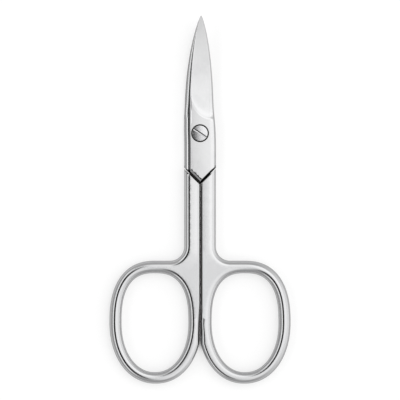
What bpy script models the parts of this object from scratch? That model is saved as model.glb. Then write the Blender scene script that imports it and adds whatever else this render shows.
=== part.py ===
"""Curved nail scissors, closed, lying on their back face with the tips curving up.

Two forged steel halves cross at a lap joint and turn on one slotted screw. Each half is a blade, a
joint plate of half the thickness, a full-thickness shank and an oval finger ring in one piece. The
front half carries the right-hand blade and the left-hand ring, the back half the other two.

Metres, +Z up, +Y towards the tips. The origin is under the middle of the closed scissors, on the
surface that they lie on. Each half is modelled round the screw's axis, in the front half's place, with
the joint plane at z = 0. The back half is the same design turned half a turn about its length, and
only the curve of the blades keeps its direction.
"""

import math

import bmesh
import bpy
from mathutils import Matrix, Vector

MM = 0.001

# The lap joint
THICKNESS = 3.2 * MM
JOINT_GAP = 0.2 * MM
JOINT_HALF_WIDTH = 3.87 * MM
PLATE_STEP = 1.26 * MM
SIDE_WALL = 0.28 * MM
EDGE_BREAK = 0.12 * MM
SPINE_ROUND = 1.3 * MM

# The blades. A share is of the same size at the joint, a power sets how a taper is spread.
BLADE_REACH = 28.7 * MM
BLADE_START = 3.6 * MM
BLADE_HALF_WIDTH = 3.54 * MM
WAIST_LENGTH = 8.0 * MM
TAPER_POWER = 2.1
TAPER_ROUNDNESS = 0.78
EDGE_TAPER = 1.3
LEAN_AT_ROOT = 0.22 * MM
LEAN_AT_TIP = 0.28 * MM
LEAN_LENGTH = 10.8 * MM
EDGE_STEP = 1.22 * MM
CURVE_START = 5.0 * MM
CURVE_RADIUS = 70.0 * MM
BLADE_THICKNESS = 1.25 * MM
TIP_THICKNESS = 0.4 * MM
FACE_TILT = math.radians(3.4)
HOLLOW = 0.1 * MM
BLADE_WALL_SHARE = 0.95
BLADE_SPINE_ROUND = 0.5 * MM
GRIND_LENGTH = 7.2 * MM

# The ricasso: the curved line where the blade's grinding starts, and how far it takes to run out
RICASSO_AT_SPINE = 3.35 * MM
RICASSO_AT_EDGE = 8.7 * MM
RICASSO_BEND = 3.1
RICASSO_RUN = 2.6 * MM

# The V where the joint plates end and the shanks begin
SHOULDER_DROP = 12.6 * MM
SHOULDER_BREAK = 0.15 * MM
SHOULDER_CORNER = 1.2 * MM
SHOULDER_GAP = 0.18 * MM
SLOPE_GAP = 0.57 * MM
GROOVE_WIDTH = 1.06 * MM
GROOVE_DEPTH = 0.65 * MM
GROOVE_CHAMFER = 0.5 * MM

# The shanks and the finger rings
HANDLE_GAP = 0.36 * MM
RING_DROP = 46.22 * MM
RING_HALF_WIDTH = 11.29 * MM
RING_HALF_HEIGHT = 15.03 * MM
RING_FLAT = 0.6 * MM
RING_EASE = 10.6 * MM
BAND_INNER = 2.65 * MM
BAND_OUTER = 2.95 * MM
BAND_TOP = 3.05 * MM
BAND_FOOT = 2.79 * MM
RING_UPPER_POWER = 2.4
RING_LOWER_POWER = 2.12
HOLE_UPPER_POWER = 2.6
HOLE_LOWER_POWER = 2.12
RIM_RADIUS = 1.25 * MM
INNER_RADIUS = 0.5 * MM
FILLET_RADIUS = 3.45 * MM

# The screw
HEAD_RADIUS = 1.9 * MM
HEAD_HEIGHT = 0.85 * MM
HEAD_CROWN = 0.12 * MM
HEAD_BREAK = 0.1 * MM
HEAD_CLEARANCE = 0.27 * MM
STEM_RADIUS = 1.25 * MM
STEM_CHAMFER = 0.25 * MM
RUNNING_CLEARANCE = 0.06 * MM
SCREW_END_INSET = 0.08 * MM
SLOT_WIDTH = 0.55 * MM
SLOT_DEPTH = 0.45 * MM
SLOT_ANGLE = math.radians(-33)

# How finely the forms are faceted
RIM_STEPS = 4
INNER_COLUMNS = 6
FACE_COLUMNS = 7
RICASSO_ROWS = 6
EASING_ROWS = 4
BLADE_ROWS = 12
CORNER_STEPS = 5
CURVE_STEP = 1.1 * MM
STRAIGHT_STEP = 3.0 * MM
ROUND_SEGMENTS = 40
CROWN_STEPS = 4

# Places that follow from the sizes above
FACE_Z = THICKNESS / 2
INNER_X = -HANDLE_GAP / 2
RING_X = INNER_X + RING_FLAT - RING_HALF_WIDTH
RING_TOP = -RING_DROP + RING_HALF_HEIGHT
RING_FOOT = -RING_DROP - RING_HALF_HEIGHT
HOLE_HALF_WIDTH = RING_HALF_WIDTH - (RING_FLAT + BAND_INNER + BAND_OUTER) / 2
HOLE_X = INNER_X - BAND_INNER - HOLE_HALF_WIDTH
HOLE_TOP = RING_TOP - BAND_TOP
HOLE_FOOT = RING_FOOT + BAND_FOOT
PLATE_POINT_X = (GROOVE_WIDTH - SLOPE_GAP) * math.sqrt(0.5)
PLATE_POINT_DROP = SHOULDER_DROP - (GROOVE_WIDTH + SLOPE_GAP) * math.sqrt(0.5)
PIVOT = Vector((0, (-RING_FOOT - BLADE_REACH) / 2, FACE_Z))

# Cutters reach past what they cut
PAST = 1.0 * MM
FAR = 6 * JOINT_HALF_WIDTH


def smooth(t):
    """A ramp from 0 to 1 that starts and ends level."""
    t = min(1.0, max(0.0, t))
    return t * t * (3 - 2 * t)


def between(start, end, t):
    return start + (end - start) * t


# Collections, objects and materials


def clear_scene():
    for obj in list(bpy.data.objects):
        bpy.data.objects.remove(obj, do_unlink=True)


def new_collection(name):
    collection = bpy.data.collections.new(name)
    bpy.context.scene.collection.children.link(collection)
    return collection


def new_object(name, bm, collection):
    """An object from a bmesh, with its faces turned outwards."""
    bmesh.ops.recalc_face_normals(bm, faces=bm.faces)
    mesh = bpy.data.meshes.new(name)
    bm.to_mesh(mesh)
    bm.free()
    obj = bpy.data.objects.new(name, mesh)
    collection.objects.link(obj)
    return obj


def fit(obj, helper, operation):
    """Cuts an object by a helper, or joins the helper to it. The helper rides with the object."""
    helper.parent = obj
    helper.hide_render = True
    helper.display_type = "WIRE"
    modifier = obj.modifiers.new(helper.name, "BOOLEAN")
    modifier.operation = operation
    modifier.object = helper
    modifier.solver = "EXACT"


def steel(name, colour, roughness):
    material = bpy.data.materials.new(name)
    material.use_nodes = True
    shader = material.node_tree.nodes["Principled BSDF"]
    shader.inputs["Base Color"].default_value = (*colour, 1)
    shader.inputs["Metallic"].default_value = 1.0
    shader.inputs["Roughness"].default_value = roughness
    return material


def bridge(bm, rows):
    """Quads between rows of vertices that each run once round."""
    for lower, upper in zip(rows, rows[1:]):
        for i in range(len(lower)):
            j = (i + 1) % len(lower)
            bm.faces.new((lower[i], lower[j], upper[j], upper[i]))


# The blade and its joint plate: a loft of sections from the joint to the tip. A height v is the distance
# past the screw, and a share q goes across the blade from 0 at the spine to 1 at the cutting edge.


def blade_share(v):
    """How far along the blade a height lies, from 0 at its start to 1 at the tip."""
    return min(1.0, max(0.0, (v - BLADE_START) / (BLADE_REACH - BLADE_START)))


def taper(v):
    return (1 - blade_share(v) ** TAPER_POWER) ** TAPER_ROUNDNESS


def half_width(v):
    """From the centreline to the spine: wide at the joint, then tapering to the tip."""
    waist = smooth(v / WAIST_LENGTH)
    return BLADE_HALF_WIDTH * taper(v) + (JOINT_HALF_WIDTH - BLADE_HALF_WIDTH) * (1 - waist)


def edge_step(v):
    """How far the cutting edge, and the plate's side below it, lie inside the other blade's spine."""
    return between(PLATE_STEP, EDGE_STEP, smooth(v / GRIND_LENGTH)) * taper(v) ** EDGE_TAPER


def full_width(v):
    return 2 * half_width(v) - edge_step(v)


def lean(v):
    """The blades bow a little to the left at the root and to the right at the tip."""
    root = LEAN_AT_ROOT * smooth((v + BLADE_START) / LEAN_LENGTH)
    return (LEAN_AT_ROOT + LEAN_AT_TIP) * blade_share(v) ** 2 - root


def mating_height(x, v):
    """The blades meet on a surface that is round about the screw, so that they clear at any angle."""
    past = max(0.0, math.hypot(x, v) - CURVE_START) if v > 0 else 0.0
    return CURVE_RADIUS - math.sqrt(CURVE_RADIUS**2 - past**2)


def ricasso(q):
    return between(RICASSO_AT_SPINE, RICASSO_AT_EDGE, q**RICASSO_BEND)


def face_height(x, v, q, side):
    """The outer face: level on the joint plate, then hollowed down to the thinner, curving blade."""
    run = min(1.0, max(0.0, (v - ricasso(q)) / RICASSO_RUN))
    blade = JOINT_GAP / 2 + between(BLADE_THICKNESS, TIP_THICKNESS, blade_share(v))
    blade += side * mating_height(0, v) - math.tan(FACE_TILT) * x
    return between(FACE_Z, blade, 1 - (1 - run) ** 2)


def inner_height(x, v, q, side):
    """The inner face lies half the joint's gap from the mating surface, and is ground slightly hollow."""
    hollow = HOLLOW * 4 * q * (1 - q) * smooth(v / CURVE_START) * math.sqrt(taper(v))
    return side * mating_height(x, v) + JOINT_GAP / 2 + hollow


def blade_section(height_at, side):
    """The outline of one section as (x, v, z) points, from the cutting edge round by the spine.
    height_at gives the section's height at each share q, because some sections follow the ricasso."""

    def point(q, surface):
        v = height_at(q)
        x = side * lean(v) + half_width(v) - q * full_width(v)
        return Vector((x, v, surface(x, v, q, side)))

    v = height_at(0)
    slim = math.sqrt(taper(v))
    ground = smooth((v - BLADE_START) / GRIND_LENGTH)
    round_q = between(SPINE_ROUND, BLADE_SPINE_ROUND, ground) * slim / full_width(v)
    step_q = edge_step(v) / full_width(v)
    v = height_at(1)
    slim = math.sqrt(taper(v))
    ground = smooth((v - BLADE_START) / GRIND_LENGTH)
    wall_q = SIDE_WALL * between(1.0, BLADE_WALL_SHARE, ground) * slim / full_width(v)
    break_q = EDGE_BREAK * slim / full_width(v)

    inner = [point(between(1, step_q, i / INNER_COLUMNS), inner_height) for i in range(INNER_COLUMNS + 1)]
    face_end = 1 - wall_q - break_q
    face = [point(between(round_q, face_end, i / FACE_COLUMNS), face_height) for i in range(FACE_COLUMNS + 1)]
    low, high = inner[-1].z, face[0].z
    quarter = [math.pi / 2 * i / RIM_STEPS for i in range(1, RIM_STEPS + 1)]
    spine = []
    for turn in quarter:
        spine.append(point(step_q * (1 - math.sin(turn)), inner_height))
        spine[-1].z = between((low + high) / 2, low, math.cos(turn))
    for turn in quarter[:-1]:
        spine.append(point(round_q * (1 - math.cos(turn)), face_height))
        spine[-1].z = between((low + high) / 2, high, math.sin(turn))
    corner = point(1 - wall_q, face_height)
    corner.z = face[-1].z - EDGE_BREAK * slim
    return inner + spine + face + [corner]


def level(v):
    """A section that runs straight across."""
    return lambda q: v


def past_ricasso(distance):
    """A section that keeps a distance from the ricasso's line."""
    return lambda q: ricasso(q) + distance


def blade_sections():
    """Few sections on the plate, close ones at the ricasso and the tip, and some that ease from one kind
    to the other."""
    sections = [level(v) for v in (-SHOULDER_DROP - PAST, -BLADE_START, 0.0, BLADE_START / 2)]
    sections += [past_ricasso(RICASSO_RUN * i / RICASSO_ROWS) for i in range(RICASSO_ROWS + 1)]
    start = RICASSO_AT_EDGE + 1.5 * RICASSO_RUN
    for i in range(1, EASING_ROWS):
        sections.append(lambda q, t=i / EASING_ROWS: between(ricasso(q) + RICASSO_RUN, start, t))
    heights = [between(start, BLADE_REACH, i / BLADE_ROWS) for i in range(BLADE_ROWS)]
    heights += [between(heights[-1], BLADE_REACH, t) for t in (0.4, 0.7, 0.86, 0.94)]
    return sections + [level(v) for v in heights]


def lofted_blade(name, side, collection):
    bm = bmesh.new()
    rows = []
    for height_at in blade_sections():
        rows.append([bm.verts.new(point) for point in blade_section(height_at, side)])
    bridge(bm, rows)
    bm.faces.new(rows[0])
    bm.faces.new(rows[-1])
    return new_object(name, bm, collection)


# The shank and the ring: a plate whose rim is rounded by a radius that changes along its outline.
# An outline is a list of (point, radius), with the material to the right of the way round.


def oval_point(angle, centre_x, half_wide, foot, top, upper_power, lower_power):
    """A point of a superellipse whose upper half is squarer than its lower half."""
    c, s = math.cos(angle), math.sin(angle)
    power = upper_power if s >= 0 else lower_power
    x = centre_x + half_wide * math.copysign(abs(c) ** (2 / power), c)
    y = (foot + top) / 2 + (top - foot) / 2 * math.copysign(abs(s) ** (2 / power), s)
    return Vector((x, y))


def ring_point(angle):
    """The ring is an oval whose inner side is ground flat where the two rings would meet."""
    sizes = (RING_X, RING_HALF_WIDTH, RING_FOOT, RING_TOP)
    point = oval_point(angle, *sizes, RING_UPPER_POWER, RING_LOWER_POWER)
    return Vector((min(point.x, INNER_X), point.y))


def hole_point(angle):
    sizes = (HOLE_X, HOLE_HALF_WIDTH, HOLE_FOOT, HOLE_TOP)
    return oval_point(angle, *sizes, HOLE_UPPER_POWER, HOLE_LOWER_POWER)


def evenly_spaced(points, step):
    """Points at equal steps along a polyline, with its ends kept."""
    lengths = [(b - a).length for a, b in zip(points, points[1:])]
    total = sum(lengths)
    count = max(1, round(total / step))
    spaced, index, walked = [points[0]], 0, 0.0
    for i in range(1, count):
        target = total * i / count
        while walked + lengths[index] < target:
            walked += lengths[index]
            index += 1
        spaced.append(points[index].lerp(points[index + 1], (target - walked) / lengths[index]))
    return spaced + [points[-1]]


def arc(centre, radius, start, end, steps):
    """Points along an arc, with angles in degrees."""
    points = []
    for i in range(steps + 1):
        turn = math.radians(between(start, end, i / steps))
        points.append(centre + radius * Vector((math.cos(turn), math.sin(turn))))
    return points


def handle_outline():
    """Down the inner side, round the ring's foot and outer side, along its top, and by a fillet up the
    shank's outer side. The upper end is cut off at the shoulder."""
    top = -PLATE_POINT_DROP / 2
    inner = evenly_spaced([Vector((INNER_X, top)), Vector((INNER_X, -RING_DROP))], STRAIGHT_STEP)
    outline = [(point, INNER_RADIUS) for point in inner[:-1]]

    ring = [ring_point(math.radians(-i)) for i in range(271)]
    for point in evenly_spaced(ring, CURVE_STEP):
        near_crotch = point.x > RING_X and point.y < HOLE_TOP
        eased = smooth((-RING_DROP - point.y) / RING_EASE) if near_crotch else 1.0
        outline.append((point, between(INNER_RADIUS, RIM_RADIUS, eased)))

    centre = Vector((-JOINT_HALF_WIDTH - FILLET_RADIUS, RING_TOP + FILLET_RADIUS))
    fillet = arc(centre, FILLET_RADIUS, -90, 0, 2 * CORNER_STEPS)
    outer = evenly_spaced([fillet[-1], Vector((-JOINT_HALF_WIDTH, top))], STRAIGHT_STEP)
    return outline + [(point, RIM_RADIUS) for point in fillet[:-1] + outer]


def hole_outline():
    oval = evenly_spaced([hole_point(math.radians(i)) for i in range(361)], CURVE_STEP)
    return [(point, RIM_RADIUS) for point in oval[:-1]]


def shoulder_outline():
    """Everything above the shank's 45 degree shoulder, whose inner corner is rounded."""
    corner = Vector((INNER_X, -SHOULDER_DROP - INNER_X))
    tangent = SHOULDER_CORNER * math.tan(math.radians(45) / 2)
    centre = corner + Vector((-SHOULDER_CORNER, -tangent))
    rounded = arc(centre, SHOULDER_CORNER, 0, 45, CORNER_STEPS)
    box = [corner + Vector((-FAR, FAR)), Vector((FAR, FAR)), Vector((FAR, rounded[0].y))]
    return [(point, SHOULDER_BREAK) for point in box + rounded]


def inward_normals(outline):
    normals = []
    for i, (point, _) in enumerate(outline):
        before = (point - outline[i - 1][0]).normalized()
        after = (outline[(i + 1) % len(outline)][0] - point).normalized()
        along = (before + after).normalized()
        normals.append(Vector((along.y, -along.x)))
    return normals


def add_wall(bm, outline, profile):
    """The wall along an outline, from its lower to its upper edge. The profile's pairs say how far it
    lies inside the outline and below the face, in shares of the outline's radius there."""
    normals = inward_normals(outline)
    rows = []
    for up, pairs in ((-1, reversed(profile)), (1, profile)):
        for inset, drop in pairs:
            row = []
            for (point, radius), normal in zip(outline, normals):
                place = point + normal * radius * inset
                row.append(bm.verts.new((place.x, place.y, up * (FACE_Z - radius * drop))))
            rows.append(row)
    bridge(bm, rows)
    return rows[0], rows[-1]


def row_edges(bm, row):
    return [bm.edges.get((row[i], row[(i + 1) % len(row)])) for i in range(len(row))]


def handle(name, collection):
    turns = [math.pi / 2 * i / RIM_STEPS for i in range(RIM_STEPS + 1)]
    quarter_round = [(1 - math.cos(turn), 1 - math.sin(turn)) for turn in turns]
    bm = bmesh.new()
    outer_rows = add_wall(bm, handle_outline(), quarter_round)
    hole_rows = add_wall(bm, hole_outline(), quarter_round)
    for outer_row, hole_row in zip(outer_rows, hole_rows):
        edges = row_edges(bm, outer_row) + row_edges(bm, hole_row)
        bmesh.ops.triangle_fill(bm, use_beauty=True, edges=edges)
    return new_object(name, bm, collection)


# Cutters


def shoulder_cutter(name, collection):
    """Its wall flares at both faces, and so leaves the shoulder's edges broken."""
    flared = [(0, 1), (-2, -1)]
    bm = bmesh.new()
    for row in add_wall(bm, shoulder_outline(), flared):
        bm.faces.new(row)
    return new_object(name, bm, collection)


def straight_cutter(name, profile, direction, point, collection):
    """A cutter along a straight line of the V. The profile's pairs are the distance from the line
    through the point, on the side that the direction points to, and the height."""
    curve = bpy.data.curves.new(name, "CURVE")
    curve.dimensions = "2D"
    curve.fill_mode = "BOTH"
    curve.extrude = FAR
    spline = curve.splines.new("POLY")
    spline.points.add(len(profile) - 1)
    for spline_point, (distance, height) in zip(spline.points, profile):
        spline_point.co = (distance, height, 0, 1)
    spline.use_cyclic_u = True
    drawn = bpy.data.objects.new(name, curve)
    collection.objects.link(drawn)

    away = Vector((*direction, 0)).normalized()
    up = Vector((0, 0, 1))
    turn = Matrix((away, up, away.cross(up))).transposed().to_4x4()
    depsgraph = bpy.context.evaluated_depsgraph_get()
    mesh = bpy.data.meshes.new_from_object(drawn.evaluated_get(depsgraph))
    bpy.data.objects.remove(drawn, do_unlink=True)
    bm = bmesh.new()
    bm.from_mesh(mesh)
    bpy.data.meshes.remove(mesh)
    bmesh.ops.remove_doubles(bm, verts=bm.verts, dist=0.01 * MM)
    bmesh.ops.transform(bm, matrix=Matrix.Translation((*point, 0)) @ turn, verts=bm.verts)
    return new_object(name, bm, collection)


def cylinder_cutter(name, radius, low, high, collection):
    bm = bmesh.new()
    bmesh.ops.create_cone(
        bm,
        cap_ends=True,
        segments=ROUND_SEGMENTS,
        radius1=radius,
        radius2=radius,
        depth=high - low,
        matrix=Matrix.Translation((0, 0, (low + high) / 2)),
    )
    return new_object(name, bm, collection)


def groove_cutter(name, collection):
    """The groove between the joint plate and its own shank, down to a floor that joins the two. The
    plate's side of it is a slope."""
    floor = FACE_Z - GROOVE_DEPTH
    lift = GROOVE_CHAMFER * PAST / GROOVE_DEPTH
    profile = [(-lift, FACE_Z + PAST), (GROOVE_CHAMFER, floor), (FAR, floor), (FAR, FACE_Z + PAST)]
    return straight_cutter(name, profile, (-1, -1), (PLATE_POINT_X, -PLATE_POINT_DROP), collection)


def slope_cutter(name, collection):
    """The plate's free side, which faces the other half's shoulder. It leans towards the shoulder, so
    that no light passes between them, and its outer edge is broken."""
    over = FACE_Z + PAST
    lip = SLOPE_GAP - SHOULDER_GAP
    edge = [(lip, -over), (lip, 0), (0, FACE_Z - SHOULDER_BREAK), (-SHOULDER_BREAK - PAST, over)]
    profile = edge + [(FAR, over), (FAR, -over)]
    return straight_cutter(name, profile, (1, -1), (PLATE_POINT_X, -PLATE_POINT_DROP), collection)


# The three pieces


def scissor_half(name, side, material, parts, helpers):
    """One half. Side is 1 for the front half and -1 for the back half, which is turned over."""
    half = lofted_blade(name, side, parts)
    half.location = PIVOT
    half.rotation_euler.y = 0 if side > 0 else math.pi
    half.data.materials.append(material)

    grip = handle(name + "_handle", helpers)
    fit(grip, shoulder_cutter(name + "_shoulder", helpers), "DIFFERENCE")
    fit(half, groove_cutter(name + "_groove", helpers), "DIFFERENCE")
    fit(half, slope_cutter(name + "_slope", helpers), "DIFFERENCE")
    bore_radius = STEM_RADIUS + RUNNING_CLEARANCE
    bore = cylinder_cutter(name + "_bore", bore_radius, -PAST, FACE_Z + PAST, helpers)
    fit(half, bore, "DIFFERENCE")
    if side > 0:
        floor = FACE_Z - HEAD_HEIGHT - RUNNING_CLEARANCE
        seat_radius = HEAD_RADIUS + HEAD_CLEARANCE
        seat = cylinder_cutter(name + "_seat", seat_radius, floor, FACE_Z + PAST, helpers)
        fit(half, seat, "DIFFERENCE")
    fit(half, grip, "UNION")

    half.data.shade_smooth()
    half.data.set_sharp_from_angle(angle=math.radians(35))
    return half


def pivot_screw(material, parts, helpers):
    """The slotted screw: a turned profile whose head sits in the front half and its end in the back one."""
    underside = FACE_Z - HEAD_HEIGHT
    end = -FACE_Z + SCREW_END_INSET
    profile = []
    for i in range(CROWN_STEPS + 1):
        share = i / CROWN_STEPS
        radius = (HEAD_RADIUS - HEAD_BREAK) * share
        profile.append((radius, FACE_Z + HEAD_CROWN * (1 - share**2)))
    profile += [
        (HEAD_RADIUS, FACE_Z - HEAD_BREAK),
        (HEAD_RADIUS, underside),
        (STEM_RADIUS, underside),
        (STEM_RADIUS, end + STEM_CHAMFER),
        (STEM_RADIUS - STEM_CHAMFER, end),
        (0.0, end),
    ]
    mesh = bpy.data.meshes.new("pivot_screw")
    vertices = [(x, 0, z) for x, z in profile]
    mesh.from_pydata(vertices, [(i, i + 1) for i in range(len(profile) - 1)], [])
    mesh.materials.append(material)
    screw = bpy.data.objects.new("pivot_screw", mesh)
    parts.objects.link(screw)
    screw.location = PIVOT
    turned = screw.modifiers.new("turned", "SCREW")
    turned.steps = turned.render_steps = ROUND_SEGMENTS
    turned.use_merge_vertices = True
    turned.merge_threshold = 0.01 * MM

    bm = bmesh.new()
    slot_size = (2 * HEAD_RADIUS + 2 * PAST, SLOT_WIDTH, 2 * PAST)
    place = Matrix.Translation((0, 0, FACE_Z - SLOT_DEPTH + PAST)) @ Matrix.Rotation(SLOT_ANGLE, 4, "Z")
    bmesh.ops.create_cube(bm, size=1.0, matrix=place @ Matrix.Diagonal((*slot_size, 1)))
    fit(screw, new_object("screw_slot", bm, helpers), "DIFFERENCE")
    return screw


def build():
    clear_scene()
    parts = new_collection("nail_scissors")
    helpers = new_collection("cutters")
    polished = steel("polished_steel", (0.52, 0.52, 0.525), 0.14)
    turned = steel("screw_steel", (0.48, 0.48, 0.485), 0.24)
    scissor_half("front_half", 1, polished, parts, helpers)
    scissor_half("back_half", -1, polished, parts, helpers)
    pivot_screw(turned, parts, helpers)


build()
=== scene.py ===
# %% [markdown]
# # Curved nail scissors
# Two halves of forged stainless steel cross at a lap joint and turn on one slotted screw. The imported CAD
# model is loaded first and stays the frame: this script makes finer pieces in the same places, gives them
# steel finishes and sets them on a pale floor under soft light.
# Every size is in metres, +Y runs towards the tips and +Z comes out of the face with the screw's slot.

import math

import bmesh
import bpy
from mathutils import Matrix, Vector
from mathutils.geometry import delaunay_2d_cdt
from mathutils.kdtree import KDTree


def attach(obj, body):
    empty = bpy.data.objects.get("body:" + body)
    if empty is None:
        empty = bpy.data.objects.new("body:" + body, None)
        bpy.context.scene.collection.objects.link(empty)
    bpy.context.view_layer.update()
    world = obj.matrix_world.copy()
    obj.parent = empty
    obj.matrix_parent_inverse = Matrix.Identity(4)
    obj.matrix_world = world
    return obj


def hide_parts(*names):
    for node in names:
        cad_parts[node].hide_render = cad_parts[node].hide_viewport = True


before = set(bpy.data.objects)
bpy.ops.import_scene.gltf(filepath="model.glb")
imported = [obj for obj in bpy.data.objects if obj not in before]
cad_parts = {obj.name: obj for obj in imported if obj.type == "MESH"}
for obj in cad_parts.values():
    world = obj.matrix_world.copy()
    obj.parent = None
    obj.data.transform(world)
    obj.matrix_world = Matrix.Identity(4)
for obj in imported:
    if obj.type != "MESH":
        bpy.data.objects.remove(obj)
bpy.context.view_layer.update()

# %% [markdown]
# ## Sizes
# A maker of scissors would read these off a drawing: the lap joint first, because everything hangs on it,
# then the blades, the V where the joint ends, the shanks and the finger rings, and the screw. They are the
# CAD's own sizes, so that each finer piece fills the same space as the solid that it stands for.

# %% Sizes of the joint and the blades
MM = 0.001
THICKNESS = 3.2 * MM
JOINT_GAP = 0.2 * MM
JOINT_HALF_WIDTH = 3.87 * MM
PLATE_STEP = 1.26 * MM
SIDE_WALL = 0.28 * MM
SPINE_ROUND = 1.3 * MM

BLADE_REACH = 28.7 * MM
BLADE_START = 3.6 * MM
BLADE_HALF_WIDTH = 3.54 * MM
WAIST_LENGTH = 8.0 * MM
TAPER_POWER = 2.1
TAPER_ROUNDNESS = 0.78
EDGE_TAPER = 1.3
LEAN_AT_ROOT = 0.22 * MM
LEAN_AT_TIP = 0.28 * MM
LEAN_LENGTH = 10.8 * MM
EDGE_STEP = 1.22 * MM
CURVE_START = 5.0 * MM
CURVE_RADIUS = 70.0 * MM
BLADE_THICKNESS = 1.25 * MM
TIP_THICKNESS = 0.4 * MM
FACE_TILT = math.radians(3.4)
HOLLOW = 0.1 * MM
GRIND_LENGTH = 7.2 * MM

RICASSO_AT_SPINE = 3.35 * MM
RICASSO_AT_EDGE = 8.7 * MM
RICASSO_BEND = 3.1
RICASSO_RUN = 2.6 * MM

# %% Sizes of the V, the shanks and the rings
SHOULDER_DROP = 12.6 * MM
SHOULDER_BREAK = 0.15 * MM
SHOULDER_CORNER = 1.2 * MM
SHOULDER_GAP = 0.18 * MM
SLOPE_GAP = 0.57 * MM
GROOVE_WIDTH = 1.06 * MM
GROOVE_DEPTH = 0.65 * MM
GROOVE_CHAMFER = 0.5 * MM

HANDLE_GAP = 0.36 * MM
RING_DROP = 46.22 * MM
RING_HALF_WIDTH = 11.29 * MM
RING_HALF_HEIGHT = 15.03 * MM
RING_FLAT = 0.6 * MM
RING_EASE = 10.6 * MM
BAND_INNER = 2.65 * MM
BAND_OUTER = 2.95 * MM
BAND_TOP = 3.05 * MM
BAND_FOOT = 2.79 * MM
RING_UPPER_POWER = 2.4
RING_LOWER_POWER = 2.12
HOLE_UPPER_POWER = 2.6
HOLE_LOWER_POWER = 2.12
INNER_RADIUS = 0.5 * MM
FILLET_RADIUS = 3.45 * MM

# %% Sizes of the screw
HEAD_RADIUS = 1.9 * MM
HEAD_HEIGHT = 0.85 * MM
HEAD_CROWN = 0.12 * MM
HEAD_BREAK = 0.1 * MM
HEAD_CLEARANCE = 0.27 * MM
STEM_RADIUS = 1.25 * MM
STEM_CHAMFER = 0.25 * MM
RUNNING_CLEARANCE = 0.06 * MM
SCREW_END_INSET = 0.08 * MM
SLOT_WIDTH = 0.55 * MM
SLOT_DEPTH = 0.45 * MM
SLOT_ANGLE = math.radians(-33)

# %% Places that follow from the sizes
FACE_Z = THICKNESS / 2
INNER_X = -HANDLE_GAP / 2
RING_X = INNER_X + RING_FLAT - RING_HALF_WIDTH
RING_TOP = -RING_DROP + RING_HALF_HEIGHT
RING_FOOT = -RING_DROP - RING_HALF_HEIGHT
HOLE_HALF_WIDTH = RING_HALF_WIDTH - (RING_FLAT + BAND_INNER + BAND_OUTER) / 2
HOLE_X = INNER_X - BAND_INNER - HOLE_HALF_WIDTH
HOLE_TOP = RING_TOP - BAND_TOP
HOLE_FOOT = RING_FOOT + BAND_FOOT
DIAGONAL = math.sqrt(0.5)
PLATE_POINT_X = (GROOVE_WIDTH - SLOPE_GAP) * DIAGONAL
PLATE_POINT_DROP = SHOULDER_DROP - (GROOVE_WIDTH + SLOPE_GAP) * DIAGONAL
PIVOT = Vector((0, (-RING_FOOT - BLADE_REACH) / 2, FACE_Z))
LENGTH = BLADE_REACH - RING_FOOT
print(f"pivot at y = {PIVOT.y * 1000:.3f} mm, overall length {LENGTH * 1000:.1f} mm")

# %% How far a shape or its cutter runs past a cut, and a margin that rounding errors can't cross
PAST = 1.0 * MM
FAR = 6 * JOINT_HALF_WIDTH
MARGIN = 0.001 * MM

# %% [markdown]
# ## Detail that only polishing leaves
# A flat that was polished on a wheel is never quite flat: it is crowned by a few hundredths of a
# millimetre, and so light runs across it in a soft ramp instead of filling it evenly. Each blade's cutting
# side is also dubbed off in a narrow facet, which shows on the front blade as a bright line. The spines get
# a lip and a bevel, and the rims of shanks and rings are rounded until hardly any side wall is left. That
# is a few tenths of a millimetre or less away from the solids, too fine for them, so it belongs here.

# %% Sizes of the polished and ground faces
SHANK_CROWN = 0.05 * MM
PLATE_CROWN = 0.05 * MM
FACET_WIDTH = 0.34 * MM
FACET_LEAST = 0.02
FACET_TILT = math.radians(22)
FACET_START = 1.6 * MM
FACET_END = 22.0 * MM
FACET_RUN = 2.4 * MM
FINE_BREAK = 0.05 * MM
RICASSO_ROUNDING = 0.04
BLADE_WALL_SHARE = 0.1

# %% Sizes of the polished spine, where a rise is a share of the spine's height
BLADE_SPINE_ROUND = 0.65 * MM
ROUND_LIMIT = 0.38
SPINE_TUCK = 0.28 * MM
SPINE_ARC = math.radians(56)
SPINE_RISE = 0.6
PLATE_RISE = 0.42
HIDDEN_RISE = 0.2
SPINE_LIP = 0.07
SPINE_WAIST = 0.1
SPINE_BEVEL = 0.32 * MM
SPINE_BEVEL_LIMIT = 0.5
SPINE_BEVEL_RISE = 0.8

# %% Sizes of the polished rims
RIM_ROUNDING = 1.45 * MM
SHANK_ROUNDING = 1.36 * MM
CROTCH_ROUNDING = 1.1 * MM
HOLE_ROUNDING = 1.42 * MM
HOLE_FOOT_ROUNDING = 1.28 * MM
EASE_LEAD = 5.0 * MM
BEVEL_FALL = math.tan(math.radians(32))

# %% Sizes of the finer slopes along the V, and the bend of its broken edges in shares of their width
GROOVE_FALL = 0.14 * MM
GROOVE_LIP = 0.2 * MM
GROOVE_LIP_FALL = 0.04 * MM
GROOVE_SLOPE = 0.44 * MM
GROOVE_SLOPE_FALL = 0.38 * MM
HIDDEN_SLOPE = 0.42 * MM
BREAK_SHALLOW = 0.35
BREAK_DEEP = 0.4


# %% Small helpers for shapes
def clamp(t):
    """A number kept between 0 and 1."""
    return min(1.0, max(0.0, t))


def smooth(t):
    """A ramp from 0 to 1 that starts and ends level."""
    t = clamp(t)
    return t * t * (3 - 2 * t)


def between(start, end, t):
    return start + (end - start) * t


def linked(name, data):
    """An object in the scene, at the origin."""
    obj = bpy.data.objects.new(name, data)
    bpy.context.scene.collection.objects.link(obj)
    return obj


def new_object(name, bm):
    """An object from a bmesh, with its faces turned outwards."""
    bmesh.ops.recalc_face_normals(bm, faces=bm.faces)
    mesh = bpy.data.meshes.new(name)
    bm.to_mesh(mesh)
    bm.free()
    return linked(name, mesh)


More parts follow.
